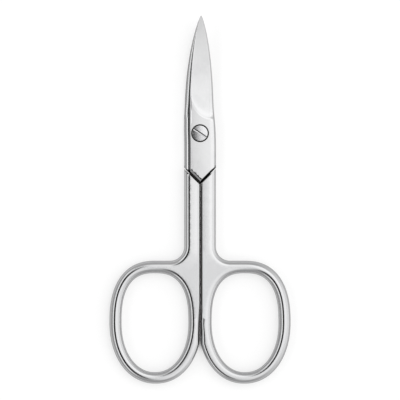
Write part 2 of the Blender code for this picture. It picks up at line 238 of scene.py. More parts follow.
def bridge(bm, rows):
    """Quads between rows of vertices that each run once round."""
    for lower, upper in zip(rows, rows[1:]):
        for i in range(len(lower)):
            j = (i + 1) % len(lower)
            bm.faces.new((lower[i], lower[j], upper[j], upper[i]))


def solid_from_rows(name, rows):
    """A closed solid from rows of points that each run once round, with a cap at both ends."""
    bm = bmesh.new()
    rows = [[bm.verts.new(point) for point in row] for row in rows]
    bridge(bm, rows)
    bm.faces.new(rows[0])
    bm.faces.new(rows[-1])
    return new_object(name, bm)


def settle(obj):
    """Turns what an object's modifiers make into its plain mesh."""
    depsgraph = bpy.context.evaluated_depsgraph_get()
    made = bpy.data.meshes.new_from_object(obj.evaluated_get(depsgraph))
    obj.modifiers.clear()
    obj.data = made
    made.name = obj.name
    return obj


# %% [markdown]
# ## The blades
# A real blade is forged, ground hollow inside and tapered to the tip. It could be sculpted or cut from a
# block, but each of its sections follows the same few rules, so a loft is the clearest: for each height v
# past the screw, a section is drawn from the cutting edge round the inner face, the spine and the outer
# face, and neighbouring sections are joined by quads. q runs across the blade, 0 at the spine and 1 at
# the cutting edge.


# %% The blade's outline
def blade_share(v):
    """How far along the blade a height lies, from 0 at its start to 1 at the tip."""
    return clamp((v - BLADE_START) / (BLADE_REACH - BLADE_START))


def taper(v):
    return (1 - blade_share(v) ** TAPER_POWER) ** TAPER_ROUNDNESS


def half_width(v):
    waist = smooth(v / WAIST_LENGTH)
    return BLADE_HALF_WIDTH * taper(v) + (JOINT_HALF_WIDTH - BLADE_HALF_WIDTH) * (1 - waist)


def edge_step(v):
    """How far the cutting edge, and the plate's side below it, lie inside the other blade's spine."""
    return between(PLATE_STEP, EDGE_STEP, smooth(v / GRIND_LENGTH)) * taper(v) ** EDGE_TAPER


def full_width(v):
    return 2 * half_width(v) - edge_step(v)


def lean(v):
    """The blades bow a little to the left at the root and to the right at the tip."""
    root = LEAN_AT_ROOT * smooth((v + BLADE_START) / LEAN_LENGTH)
    return (LEAN_AT_ROOT + LEAN_AT_TIP) * blade_share(v) ** 2 - root


# %% The blade's surfaces
def mating_height(x, v):
    """The blades meet on a surface that is round about the screw, so that they clear at any angle."""
    past = max(0.0, math.hypot(x, v) - CURVE_START) if v > 0 else 0.0
    return CURVE_RADIUS - math.sqrt(CURVE_RADIUS**2 - past**2)


def ricasso(q):
    """The curved line across the blade where its grinding starts."""
    return between(RICASSO_AT_SPINE, RICASSO_AT_EDGE, q**RICASSO_BEND)


def side_wall(v):
    """How far the wall on the cutting side leans in below the outer face, with its broken edge."""
    ground = smooth((v - BLADE_START) / GRIND_LENGTH)
    return (SIDE_WALL * between(1.0, BLADE_WALL_SHARE, ground) + FINE_BREAK) * math.sqrt(taper(v))


def facet_width(v):
    """The narrow facet along the cutting side runs out to nothing on the plate and near the tip."""
    share = smooth((v - FACET_START) / FACET_RUN) * (1 - smooth((v - FACET_END) / (2 * FACET_RUN)))
    return FACET_WIDTH * math.sqrt(taper(v)) * max(share, FACET_LEAST)


def face_height(x, v, q, side):
    """The outer face: almost level on the plate, then hollowed down to the thinner, curving blade."""
    run = clamp((v - ricasso(q)) / RICASSO_RUN)
    run = math.hypot(run, RICASSO_ROUNDING) - RICASSO_ROUNDING
    run = min(1.0, run / (math.hypot(1, RICASSO_ROUNDING) - RICASSO_ROUNDING))
    plate = FACE_Z - PLATE_CROWN * (2 * q - 1) ** 2
    blade = JOINT_GAP / 2 + between(BLADE_THICKNESS, TIP_THICKNESS, blade_share(v))
    blade += side * mating_height(0, v) - math.tan(FACE_TILT) * x
    return between(plate, blade, 1 - (1 - run) ** 3)


def ground_height(x, v, q, side, ridge_q):
    """The outer face with its facet, which falls from a ridge towards the cutting side."""
    past = (q - ridge_q) * full_width(v)
    if past <= 0:
        return face_height(x, v, q, side)
    return face_height(x + past, v, ridge_q, side) - past * math.tan(FACET_TILT)


def inner_height(x, v, q, side):
    """The inner face lies half the joint's gap from the mating surface, and is ground slightly hollow."""
    hollow = HOLLOW * 4 * q * (1 - q) * smooth(v / CURVE_START) * math.sqrt(taper(v))
    return side * mating_height(x, v) + JOINT_GAP / 2 + hollow


# %% The spine of one section
SPINE_ROWS = 12
SPINE_LIP_ROWS = 5
SPINE_BEVEL_ROWS = 3
SPINE_ROUND_ROWS = 9


def spine_profile(low, high, rise, width, step_q, bevel_q, round_q):
    """The spine as pairs of share and height: an arc that leaves the inner face, a lip that turns it
    upright, a narrow bevel, and a round that runs out level on the outer face."""
    lip_q = SPINE_LIP * step_q
    arc_q = step_q - lip_q
    arc_sine = math.sin(SPINE_ARC)
    arc_fall = 1 - math.cos(SPINE_ARC)
    arc_height = min(arc_q * width * arc_fall / arc_sine, rise * (high - low))
    waist = between(low + arc_height, high, SPINE_WAIST)
    bevel_top = between(waist, high, SPINE_BEVEL_RISE)

    profile = []
    for i in range(1, SPINE_ROWS + 1):
        turn = SPINE_ARC * i / SPINE_ROWS
        height = low + arc_height * (1 - math.cos(turn)) / arc_fall
        profile.append((step_q - arc_q * math.sin(turn) / arc_sine, height))
    for i in range(1, SPINE_LIP_ROWS + 1):
        turn = math.pi / 2 * i / SPINE_LIP_ROWS
        height = between(waist, low + arc_height, math.cos(turn))
        profile.append((lip_q * (1 - math.sin(turn)), height))
    for i in range(1, SPINE_BEVEL_ROWS + 1):
        share = i / SPINE_BEVEL_ROWS
        profile.append((bevel_q * share, between(waist, high, SPINE_BEVEL_RISE * share)))
    for i in range(1, SPINE_ROUND_ROWS):
        share = i / SPINE_ROUND_ROWS
        height = between(high, bevel_top, (1 - share) ** 2)
        profile.append((between(bevel_q, round_q, share), height))
    return profile


# %% One section of the blade
INNER_COLUMNS = 10
FACE_COLUMNS = 22
FACET_COLUMNS = 5


def blade_section(height_at, side):
    """The outline of one section as points, from the cutting edge round by the spine. height_at gives
    the section's height at each share q, because some sections follow the ricasso."""

    def place(q):
        v = height_at(q)
        return side * lean(v) + half_width(v) - q * full_width(v), v

    def point(q, surface):
        x, v = place(q)
        return Vector((x, v, surface(x, v, q, side)))

    spine_v, edge_v = height_at(0), height_at(1)
    ground = smooth((spine_v - BLADE_START) / GRIND_LENGTH)
    slim = math.sqrt(taper(spine_v))
    width = full_width(spine_v)
    round_q = min(ROUND_LIMIT, between(SPINE_ROUND, BLADE_SPINE_ROUND, ground) * slim / width)
    bevel_q = min(SPINE_BEVEL_LIMIT * round_q, SPINE_BEVEL * slim / width)
    step_q = (edge_step(spine_v) + SPINE_TUCK * taper(spine_v)) / width
    width = full_width(edge_v)
    broken = FINE_BREAK * math.sqrt(taper(edge_v))
    face_end = 1 - side_wall(edge_v) / width
    facet_start = face_end - facet_width(edge_v) / width

    shares = [between(1, step_q, i / INNER_COLUMNS) for i in range(INNER_COLUMNS + 1)]
    inner = [point(q, inner_height) for q in shares]
    shares = [between(round_q, facet_start, i / FACE_COLUMNS) for i in range(FACE_COLUMNS)]
    shares += [between(facet_start, face_end, i / FACET_COLUMNS) for i in range(FACET_COLUMNS + 1)]
    face = [point(q, lambda *where: ground_height(*where, facet_start)) for q in shares]

    rise = HIDDEN_RISE if side > 0 else between(PLATE_RISE, SPINE_RISE, ground)
    profile = spine_profile(inner[-1].z, face[0].z, rise, width, step_q, bevel_q, round_q)
    spine = [Vector((*place(q), height)) for q, height in profile]
    corner = Vector((*place(face_end + broken / width), face[-1].z - broken))
    return inner + spine + face + [corner]


# %% The loft from the joint to the tip
PLATE_ROWS = 14
RICASSO_ROWS = 12
EASING_ROWS = 10
EASING_END = 1.5
BLADE_ROWS = 48
TIP_SHARES = (0.3, 0.55, 0.75, 0.9)


def level(v):
    """A section that runs straight across."""
    return lambda q: v


def past_ricasso(distance):
    """A section that keeps a distance from the ricasso's line."""
    return lambda q: ricasso(q) + distance


def blade_sections():
    lowest = -SHOULDER_DROP - PAST
    sections = [level(between(lowest, -BLADE_START, i / PLATE_ROWS)) for i in range(PLATE_ROWS + 1)]
    for i in range(1, EASING_ROWS):
        sections.append(lambda q, t=i / EASING_ROWS: between(-BLADE_START, ricasso(q), t))
    sections += [past_ricasso(RICASSO_RUN * i / RICASSO_ROWS) for i in range(RICASSO_ROWS + 1)]
    start = RICASSO_AT_EDGE + EASING_END * RICASSO_RUN
    for i in range(1, EASING_ROWS):
        sections.append(lambda q, t=i / EASING_ROWS: between(ricasso(q) + RICASSO_RUN, start, t))
    heights = [between(start, BLADE_REACH, i / BLADE_ROWS) for i in range(BLADE_ROWS)]
    heights += [between(heights[-1], BLADE_REACH, t) for t in TIP_SHARES]
    return sections + [level(v) for v in heights]


def lofted_blade(name, side):
    rows = [blade_section(height_at, side) for height_at in blade_sections()]
    print(f"{name}: {len(rows)} sections of {len(rows[0])} points")
    return solid_from_rows(name, rows)


# %% [markdown]
# ## Helpers for node trees
# Geometry Nodes and shaders are both trees of nodes, so the same helpers serve the two: one adds a node
# and sets it up, and the others make Math and Map Range nodes from numbers or other nodes' outputs.


# %% Node helpers
def add_node(tree, kind, settings=None, **inputs):
    """A node with its settings, and its inputs given by name as values or as other nodes' outputs."""
    node = tree.nodes.new(kind)
    for name, value in (settings or {}).items():
        setattr(node, name, value)
    for name, value in inputs.items():
        plug_in(tree, node, name.replace("_", " "), value)
    return node


def plug_in(tree, node, name, value):
    sockets = [socket for socket in node.inputs if socket.name == name and socket.enabled]
    feed(tree, sockets[0], value)


def feed(tree, socket, value):
    """Links a socket to another node's output, or sets it to a plain value."""
    if isinstance(value, bpy.types.NodeSocket):
        tree.links.new(value, socket)
    else:
        socket.default_value = value


def maths(tree, operation, *values, clamp=False):
    """The output of a Math node."""
    node = tree.nodes.new("ShaderNodeMath")
    node.operation = operation
    node.use_clamp = clamp
    for socket, value in zip(node.inputs, values):
        feed(tree, socket, value)
    return node.outputs[0]


def chain(tree, operation, first, *others):
    """The output of the last of several Math nodes, each of which takes in one more value."""
    for value in others:
        first = maths(tree, operation, first, value)
    return first


def blend_numbers(tree, share, first, second):
    """first where the share is 0, second where it is 1."""
    rest = maths(tree, "SUBTRACT", 1.0, share)
    first = maths(tree, "MULTIPLY", first, rest)
    return maths(tree, "ADD", first, maths(tree, "MULTIPLY", second, share))


def remap(tree, value, low, high, start=0.0, end=1.0, soft=True):
    """Maps low to start and high to end, level outside them."""
    node = tree.nodes.new("ShaderNodeMapRange")
    node.interpolation_type = "SMOOTHSTEP" if soft else "LINEAR"
    for name, number in (("From Min", low), ("From Max", high), ("To Min", start), ("To Max", end)):
        plug_in(tree, node, name, number)
    plug_in(tree, node, "Value", value)
    return node.outputs["Result"]


# %% Helpers for Geometry Nodes trees
def add_inputs(tree, sizes):
    """Named inputs with their kinds and, except for materials, their values."""
    for size, (kind, value) in sizes.items():
        socket = tree.interface.new_socket(size, in_out="INPUT", socket_type="NodeSocket" + kind)
        if value is not None:
            socket.default_value = value


def geometry_tree(name, sizes):
    """A Geometry Nodes tree with nothing in it but named sizes, and those sizes as outputs."""
    tree = bpy.data.node_groups.new(name, "GeometryNodeTree")
    tree.interface.new_socket("Geometry", in_out="INPUT", socket_type="NodeSocketGeometry")
    add_inputs(tree, sizes)
    tree.interface.new_socket("Geometry", in_out="OUTPUT", socket_type="NodeSocketGeometry")
    return tree, tree.nodes.new("NodeGroupInput").outputs


def finish_tree(tree, geometry, material):
    """Every tree ends in Realize Instances and Set Material."""
    real = add_node(tree, "GeometryNodeRealizeInstances", Geometry=geometry).outputs["Geometry"]
    painted = add_node(tree, "GeometryNodeSetMaterial", Geometry=real, Material=material)
    leave = tree.nodes.new("NodeGroupOutput")
    tree.links.new(painted.outputs["Geometry"], leave.inputs["Geometry"])
    print(f"{tree.name}: {len(tree.nodes)} nodes")


def run_tree(obj, tree, **sizes):
    """Puts a tree on an object, sets its inputs by their identifiers and makes the result plain, with
    its faces turned outwards."""
    modifier = obj.modifiers.new(tree.name, "NODES")
    modifier.node_group = tree
    inputs = [item for item in tree.interface.items_tree if item.in_out == "INPUT"]
    identifiers = {item.name: item.identifier for item in inputs}
    for name, value in sizes.items():
        modifier[identifiers[name.replace("_", " ")]] = value
    settle(obj)
    bm = bmesh.new()
    bm.from_mesh(obj.data)
    bmesh.ops.recalc_face_normals(bm, faces=bm.faces)
    bm.to_mesh(obj.data)
    bm.free()
    return obj


# %% [markdown]
# ## The shank and the finger ring
# On the real scissors these are one bar, bent into an oval, hammered and then rounded on a belt until the
# edges are gone. It could be swept along a path, but the wide place where ring and shank meet has no path
# of its own. So it is made as a plate instead: a flat sheet is cut to the outline, and a rule lifts each
# point of it by how far it lies from the nearest edge. That rule is a Geometry Nodes tree, because it is
# the same for any outline: Geometry Proximity measures the distance, a quarter circle turns the distance
# into a height, the same again upside down makes the back, and the edge is drawn down as the side wall.


# %% The outline of a shank and its ring
def oval_point(angle, centre_x, half_wide, foot, top, upper_power, lower_power):
    """A point of a superellipse whose upper half is squarer than its lower half."""
    c, s = math.cos(angle), math.sin(angle)
    power = upper_power if s >= 0 else lower_power
    x = centre_x + half_wide * math.copysign(abs(c) ** (2 / power), c)
    y = (foot + top) / 2 + (top - foot) / 2 * math.copysign(abs(s) ** (2 / power), s)
    return Vector((x, y))


def ring_point(angle):
    """The ring is an oval whose inner side is ground flat where the two rings would meet."""
    sizes = (RING_X, RING_HALF_WIDTH, RING_FOOT, RING_TOP)
    point = oval_point(angle, *sizes, RING_UPPER_POWER, RING_LOWER_POWER)
    return Vector((min(point.x, INNER_X), point.y))


def hole_point(angle):
    sizes = (HOLE_X, HOLE_HALF_WIDTH, HOLE_FOOT, HOLE_TOP)
    return oval_point(angle, *sizes, HOLE_UPPER_POWER, HOLE_LOWER_POWER)


def evenly_spaced(points, step):
    """Points at equal steps along a polyline, with its ends kept."""
    lengths = [(b - a).length for a, b in zip(points, points[1:])]
    total = sum(lengths)
    count = max(1, round(total / step))
    spaced, index, walked = [points[0]], 0, 0.0
    for i in range(1, count):
        target = total * i / count
        while walked + lengths[index] < target:
            walked += lengths[index]
            index += 1
        spaced.append(points[index].lerp(points[index + 1], (target - walked) / lengths[index]))
    return spaced + [points[-1]]


def arc(centre, radius, start, end, steps):
    """Points along an arc, with angles in degrees."""
    points = []
    for i in range(steps + 1):
        turn = math.radians(between(start, end, i / steps))
        points.append(centre + radius * Vector((math.cos(turn), math.sin(turn))))
    return points


# %% The outline as points with the rim's radius at each
CURVE_STEP = 0.32 * MM
STRAIGHT_STEP = 0.6 * MM
POINTS_PER_DEGREE = 4
SHOULDER_STRETCH = 2.5 * MM


def inner_rim(point):
    """The inner side has a narrow bevel that eases into the ring's round rim at the crotch."""
    eased = smooth((EASE_LEAD - RING_DROP - point.y) / RING_EASE)
    return point, between(INNER_RADIUS, CROTCH_ROUNDING, eased), max(0.0, 1 - 2 * eased)


def ring_rim(point):
    """The rim is fuller on the ring's outer side than it is under the crotch."""
    fuller = smooth(0.5 + (RING_X - point.x) / RING_HALF_WIDTH)
    above = smooth((point.y - HOLE_FOOT) / (HOLE_TOP - HOLE_FOOT))
    return point, between(CROTCH_ROUNDING, RIM_ROUNDING, max(fuller, above)), 0.0


def sweep(point_at, degrees, direction):
    """Evenly spaced points round an oval, taken from far closer ones."""
    count = degrees * POINTS_PER_DEGREE + 1
    points = [point_at(math.radians(direction * i / POINTS_PER_DEGREE)) for i in range(count)]
    return evenly_spaced(points, CURVE_STEP)


def handle_outline():
    """Down the inner side, round the ring's foot and outer side, along its top, and by a fillet up the
    shank's outer side, as (point, rim radius, bevel). The last stretch up to the corner has no points,
    because the upper end is cut off at the shoulder."""
    top = -PLATE_POINT_DROP / 2
    inner = evenly_spaced([Vector((INNER_X, top)), Vector((INNER_X, -RING_DROP))], STRAIGHT_STEP)
    outline = [inner_rim(point) for point in inner[:-1]]

    for point in sweep(ring_point, 270, -1):
        near_crotch = point.x > RING_X and point.y < HOLE_TOP
        crotch = near_crotch and point.y > -RING_DROP - RING_EASE
        outline.append(inner_rim(point) if crotch else ring_rim(point))

    centre = Vector((-JOINT_HALF_WIDTH - FILLET_RADIUS, RING_TOP + FILLET_RADIUS))
    fillet = arc(centre, FILLET_RADIUS, -90, 0, round(FILLET_RADIUS * math.pi / 2 / CURVE_STEP))
    corner = Vector((-JOINT_HALF_WIDTH, top))
    outer = evenly_spaced([fillet[-1], corner - Vector((0, SHOULDER_STRETCH))], STRAIGHT_STEP)
    for i, point in enumerate(fillet[:-1]):
        outline.append((point, between(RIM_ROUNDING, SHANK_ROUNDING, smooth(i / len(fillet))), 0.0))
    return outline + [(point, SHANK_ROUNDING, 0.0) for point in outer + [corner]]


def hole_outline():
    """The hole's rim is a little finer at the foot, where the band is narrowest."""
    outline = []
    for point in sweep(hole_point, 360, 1)[:-1]:
        above_foot = smooth(2 * (point.y - HOLE_FOOT) / (HOLE_TOP - HOLE_FOOT))
        outline.append((point, between(HOLE_FOOT_ROUNDING, HOLE_ROUNDING, above_foot), 0.0))
    return outline


def inward_normals(points):
    """The way into the material at each point, which lies to the right of the way round. It is longer
    at a corner, so that an inset there keeps its distance from both sides."""
    normals = []
    for i, point in enumerate(points):
        before = (point - points[i - 1]).normalized()
        after = (points[(i + 1) % len(points)] - point).normalized()
        along = (before + after).normalized()
        normals.append(Vector((along.y, -along.x)) / along.dot(before))
    return normals


# %% Points for the flat between the rims
SHEET_STEP = 0.4 * MM
SHEET_CLEAR = 0.7


def inside(point, loop):
    """True if a point lies inside a closed loop of points."""
    found = False
    for a, b in zip(loop, loop[1:] + loop[:1]):
        if (a.y > point.y) != (b.y > point.y):
            if point.x < (b.x - a.x) * (point.y - a.y) / (b.y - a.y) + a.x:
                found = not found
    return found


def middle_points(outer, hole):
    """A grid of points over the flat between the rims, kept clear of both."""
    tree = KDTree(len(outer) + len(hole))
    for i, point in enumerate(outer + hole):
        tree.insert((point.x, point.y, 0), i)
    tree.balance()
    corner = Vector((min(p.x for p in outer), min(p.y for p in outer)))
    x_count = int((max(p.x for p in outer) - corner.x) / SHEET_STEP)
    y_count = int((max(p.y for p in outer) - corner.y) / SHEET_STEP)
    points = []
    for j in range(1, y_count):
        for i in range(x_count + 1):
            point = corner + SHEET_STEP * Vector((i + 0.5 * (j % 2), j))
            clear = tree.find((point.x, point.y, 0))[2] > SHEET_CLEAR * SHEET_STEP
            if clear and inside(point, outer) and not inside(point, hole):
                points.append(point)
    return points


# %% The flat sheet, with close rows where the rim will be rounded
RIM_ROWS = 9
INSIDE_TRIANGLES = 1
SAME_POINT = 1e-9


def rim_rows(bm, outline):
    """Rows of vertices from the outline inwards, closest at the outline. Each vertex keeps the rim's
    radius and bevel."""
    radius_layer = bm.verts.layers.float["rim_radius"]
    bevel_layer = bm.verts.layers.float["rim_bevel"]
    normals = inward_normals([point for point, _, _ in outline])
    rows = []
    for k in range(RIM_ROWS + 1):
        share = 1 - math.cos(math.pi / 2 * k / RIM_ROWS)
        row = []
        for (point, radius, bevel), normal in zip(outline, normals):
            row.append(bm.verts.new((*(point + normal * radius * share), 0)))
            row[-1][radius_layer] = radius
            row[-1][bevel_layer] = bevel
        rows.append(row)
    bridge(bm, rows)
    return rows


def handle_sheet(name):
    """The rims' rows, with the flat between them filled by triangles."""
    bm = bmesh.new()
    bm.verts.layers.float.new("rim_radius")
    bm.verts.layers.float.new("rim_bevel")
    loops = [rim_rows(bm, outline)[-1] for outline in (handle_outline(), hole_outline())]
    outer, hole = [[vert.co.xy for vert in loop] for loop in loops]
    edges = []
    for start, loop in ((0, outer), (len(outer), hole)):
        edges += [(start + i, start + (i + 1) % len(loop)) for i in range(len(loop))]
    extra = middle_points(outer, hole)
    verts = loops[0] + loops[1] + [bm.verts.new((point.x, point.y, 0)) for point in extra]
    filled = delaunay_2d_cdt(outer + hole + extra, edges, [], INSIDE_TRIANGLES, SAME_POINT)
    points, _, faces, origins, _, _ = filled
    for face in faces:
        middle = sum((points[i] for i in face), Vector((0, 0))) / len(face)
        if not inside(middle, hole):
            bm.faces.new([verts[origins[i][0]] for i in face])
    print(f"{name}: {len(bm.verts)} points, {len(extra)} of them on the flat")
    return new_object(name, bm)


# %% How far the tree lets the rim and the crown drop
def outline_value(tree, outline, index, name):
    """A value that the outline holds, read at its nearest point."""
    held = add_node(tree, "GeometryNodeInputNamedAttribute", {"data_type": "FLOAT"}, Name=name)
    return add_node(
        tree,
        "GeometryNodeSampleIndex",
        {"data_type": "FLOAT", "domain": "POINT"},
        Geometry=outline,
        Value=held.outputs["Attribute"],
        Index=index,
    ).outputs["Value"]


def rim_drop(tree, sheet, is_edge, bevel_fall):
    """A quarter circle, or a straight bevel where the outline holds one."""
    outline = add_node(
        tree, "GeometryNodeSeparateGeometry", {"domain": "EDGE"}, Geometry=sheet, Selection=is_edge
    ).outputs["Selection"]
    reach = add_node(tree, "GeometryNodeProximity", {"target_element": "EDGES"}, Geometry=outline)
    nearest = add_node(tree, "GeometryNodeSampleNearest", {"domain": "POINT"}, Geometry=outline)
    radius = outline_value(tree, outline, nearest.outputs["Index"], "rim_radius")
    bevel = outline_value(tree, outline, nearest.outputs["Index"], "rim_bevel")

    way = maths(tree, "DIVIDE", reach.outputs["Distance"], radius)
    out = maths(tree, "SUBTRACT", 1.0, way, clamp=True)
    arch = maths(tree, "SUBTRACT", 1.0, maths(tree, "MULTIPLY", out, out), clamp=True)
    arch = maths(tree, "SQRT", arch)
    round_drop = maths(tree, "MULTIPLY", radius, maths(tree, "SUBTRACT", 1.0, arch))
    return blend_numbers(tree, bevel, round_drop, chain(tree, "MULTIPLY", radius, out, bevel_fall))


def crown_drop(tree, entry, parts):
    """The crown across the shank, which fades out where the shank widens into the ring."""
    off_middle = maths(tree, "SUBTRACT", parts["X"], entry["Crown Middle"])
    across = maths(tree, "DIVIDE", off_middle, entry["Crown Half Width"])
    bow = maths(tree, "MINIMUM", maths(tree, "MULTIPLY", across, across), 1.0)
    above = maths(tree, "SUBTRACT", parts["Y"], entry["Crown Fades At"])
    fade = remap(tree, maths(tree, "DIVIDE", above, entry["Crown Fade Length"]), 0.0, 1.0)
    return chain(tree, "MULTIPLY", bow, fade, entry["Crown"])


# %% The tree that turns a flat sheet into a plate with a rounded rim
MERGE = 0.0005 * MM


def at_height(tree, parts, height):
    """The same place with another height."""
    place = add_node(tree, "ShaderNodeCombineXYZ", X=parts["X"], Y=parts["Y"], Z=height)
    return place.outputs["Vector"]


def rounded_plate_tree():
    sizes = {
        "Thickness": ("Float", THICKNESS),
        "Bevel Fall": ("Float", BEVEL_FALL),
        "Crown": ("Float", SHANK_CROWN),
        "Crown Middle": ("Float", 0.0),
        "Crown Half Width": ("Float", JOINT_HALF_WIDTH / 2),
        "Crown Fades At": ("Float", RING_TOP),
        "Crown Fade Length": ("Float", BAND_TOP),
        "Material": ("Material", None),
    }
    tree, entry = geometry_tree("rounded_plate", sizes)
    sheet = entry["Geometry"]
    neighbours = add_node(tree, "GeometryNodeInputMeshEdgeNeighbors")
    is_edge = maths(tree, "COMPARE", neighbours.outputs["Face Count"], 1, 0.1)
    position = add_node(tree, "GeometryNodeInputPosition").outputs["Position"]
    parts = add_node(tree, "ShaderNodeSeparateXYZ", Vector=position).outputs

    half = maths(tree, "MULTIPLY", entry["Thickness"], 0.5)
    rim = rim_drop(tree, sheet, is_edge, entry["Bevel Fall"])
    height = chain(tree, "SUBTRACT", half, rim, crown_drop(tree, entry, parts))
    lifted = at_height(tree, parts, height)
    face = add_node(tree, "GeometryNodeSetPosition", Geometry=sheet, Position=lifted).outputs["Geometry"]
    back = add_node(tree, "GeometryNodeTransform", Geometry=face, Scale=(1, 1, -1)).outputs["Geometry"]

    settings = {"mode": "EDGES"}
    drawn = add_node(
        tree, "GeometryNodeExtrudeMesh", settings, Mesh=face, Selection=is_edge, Offset_Scale=0.0
    ).outputs
    mirrored = at_height(tree, parts, maths(tree, "MULTIPLY", parts["Z"], -1.0))
    walled = add_node(
        tree,
        "GeometryNodeSetPosition",
        Geometry=drawn["Mesh"],
        Selection=drawn["Top"],
        Position=mirrored,
    ).outputs["Geometry"]
    join = tree.nodes.new("GeometryNodeJoinGeometry")
    tree.links.new(walled, join.inputs[0])
    tree.links.new(back, join.inputs[0])
    joined = join.outputs["Geometry"]
    merged = add_node(tree, "GeometryNodeMergeByDistance", Geometry=joined, Distance=MERGE)
    finish_tree(tree, merged.outputs["Geometry"], entry["Material"])
    return tree


# %% [markdown]
# ## Cutters
# The joint's V, the groove beside it and the bore are cut into the forging, so here too a Boolean cuts
# them. A mill leaves a burr that is always broken, which is why a cutter flares a little where it leaves
# the face: the narrow slopes that this makes catch the light along the V as they do on the real edges.


# %% Cutters along the V
SHOULDER_STEPS = 12


def shoulder_cutter(name):
    """Everything above the shank's 45 degree shoulder, whose inner corner is rounded. The wall's pairs
    are how far it stands outside the outline at a height."""
    corner = Vector((INNER_X, -SHOULDER_DROP - INNER_X))
    tangent = SHOULDER_CORNER * math.tan(math.radians(45) / 2)
    centre = corner + Vector((-SHOULDER_CORNER, -tangent))
    rounded = arc(centre, SHOULDER_CORNER, 0, 45, SHOULDER_STEPS)
    outline = [corner + Vector((-FAR, FAR)), Vector((FAR, FAR)), Vector((FAR, rounded[0].y))] + rounded
    flare = SHOULDER_BREAK
    flares = [
        (flare + PAST, FACE_Z + PAST),
        (flare, FACE_Z),
        (flare * BREAK_SHALLOW, FACE_Z - flare * BREAK_DEEP),
        (0, FACE_Z - flare),
    ]
    wall = [(out, -height) for out, height in flares] + flares[::-1]
    normals = inward_normals(outline)
    rows = []
    for out, height in wall:
        places = [point - normal * out for point, normal in zip(outline, normals)]
        rows.append([(place.x, place.y, height) for place in places])
    return solid_from_rows(name, rows)


def straight_cutter(name, profile, direction, point):
    """A cutter along a straight line of the V. The profile's pairs are the distance from the line
    through the point, on the side that the direction points to, and the height."""
    away = Vector((*direction, 0)).normalized()
    along = Vector((0, 0, 1)).cross(away)
    start = Vector((*point, 0))
    rows = []
    for reach in (-FAR, FAR):
        rows.append([start + away * out + along * reach + Vector((0, 0, up)) for out, up in profile])
    return solid_from_rows(name, rows)


def groove_cutter(name):
    """The groove between the joint plate and its own shank. The plate's side of it is a slope, and its
    floor falls away towards the shoulder, so that it mirrors the dark side of the room."""
    floor = FACE_Z - GROOVE_DEPTH
    profile = [
        (-GROOVE_LIP - PAST * GROOVE_LIP / GROOVE_LIP_FALL, FACE_Z + PAST),
        (-GROOVE_LIP, FACE_Z),
        (0, FACE_Z - GROOVE_LIP_FALL),
        (GROOVE_SLOPE, FACE_Z - GROOVE_SLOPE_FALL),
        (GROOVE_CHAMFER + FINE_BREAK, floor),
        (GROOVE_WIDTH + FINE_BREAK, floor - GROOVE_FALL),
        (FAR, floor - GROOVE_FALL),
        (FAR, FACE_Z + PAST),
    ]
    return straight_cutter(name, profile, (-1, -1), (PLATE_POINT_X, -PLATE_POINT_DROP))


def slope_cutter(name):
    """The plate's free side, which faces the other half's shoulder and leans towards it."""
    over = FACE_Z + PAST
    lip = SLOPE_GAP - SHOULDER_GAP
    under = JOINT_GAP / 2
    profile = [
        (lip - HIDDEN_SLOPE, -over),
        (lip - HIDDEN_SLOPE, under),
        (lip, under + HIDDEN_SLOPE),
        (0, FACE_Z - SHOULDER_BREAK),
        (-SHOULDER_BREAK * BREAK_DEEP, FACE_Z - SHOULDER_BREAK * BREAK_SHALLOW),
        (-SHOULDER_BREAK, FACE_Z),
        (-SHOULDER_BREAK - PAST * 2, over),
        (FAR, over),
        (FAR, -over),
    ]
    return straight_cutter(name, profile, (1, -1), (PLATE_POINT_X, -PLATE_POINT_DROP))


# %% [markdown]
# ## Turned pieces
# The screw and its seat come off a lathe. Spinning a profile by hand would do for one, but there are
# several, so a tree turns any profile: it takes the points of a half section, lays out a grid with one
# row for each of them, and bends every row into a circle. The cutters for the bore and the seat come from
# the same tree as the screw, which is how a maker would match them too.


# %% The tree that turns a half section round the Z axis
ROUND_SEGMENTS = 96
POLE_MERGE = 0.002 * MM


def turned_tree():
    sizes = {"Segments": ("Int", ROUND_SEGMENTS), "Material": ("Material", None)}
    tree, entry = geometry_tree("turned", sizes)
    profile = entry["Geometry"]
    count = add_node(tree, "GeometryNodeAttributeDomainSize", Geometry=profile).outputs["Point Count"]
    columns = maths(tree, "ADD", entry["Segments"], 1)
    grid = add_node(tree, "GeometryNodeMeshGrid", Vertices_X=count, Vertices_Y=columns)
    index = add_node(tree, "GeometryNodeInputIndex").outputs["Index"]
    row = maths(tree, "FLOOR", maths(tree, "DIVIDE", maths(tree, "ADD", index, 0.5), columns))
    column = maths(tree, "SUBTRACT", index, maths(tree, "MULTIPLY", row, columns))
    place = add_node(
        tree,
        "GeometryNodeSampleIndex",
        {"data_type": "FLOAT_VECTOR", "domain": "POINT"},
        Geometry=profile,
        Value=add_node(tree, "GeometryNodeInputPosition").outputs["Position"],
        Index=row,
    ).outputs["Value"]
    turn = maths(tree, "DIVIDE", column, entry["Segments"])
    turn = maths(tree, "MULTIPLY", turn, 2 * math.pi)
    about_z = {"rotation_type": "Z_AXIS"}
    bent = add_node(tree, "ShaderNodeVectorRotate", about_z, Vector=place, Angle=turn).outputs["Vector"]
    flat = grid.outputs["Mesh"]
    bowl = add_node(tree, "GeometryNodeSetPosition", Geometry=flat, Position=bent).outputs["Geometry"]
    merged = add_node(tree, "GeometryNodeMergeByDistance", Geometry=bowl, Distance=POLE_MERGE)
    finish_tree(tree, merged.outputs["Geometry"], entry["Material"])
    return tree


TURNED = turned_tree()


def turned_piece(name, profile, material=None):
    """A turned piece from (radius, height) pairs, both ends on the axis."""
    mesh = bpy.data.meshes.new(name)
    vertices = [(radius, 0, height) for radius, height in profile]
    mesh.from_pydata(vertices, [(i, i + 1) for i in range(len(profile) - 1)], [])
    return run_tree(linked(name, mesh), TURNED, Segments=ROUND_SEGMENTS, Material=material)


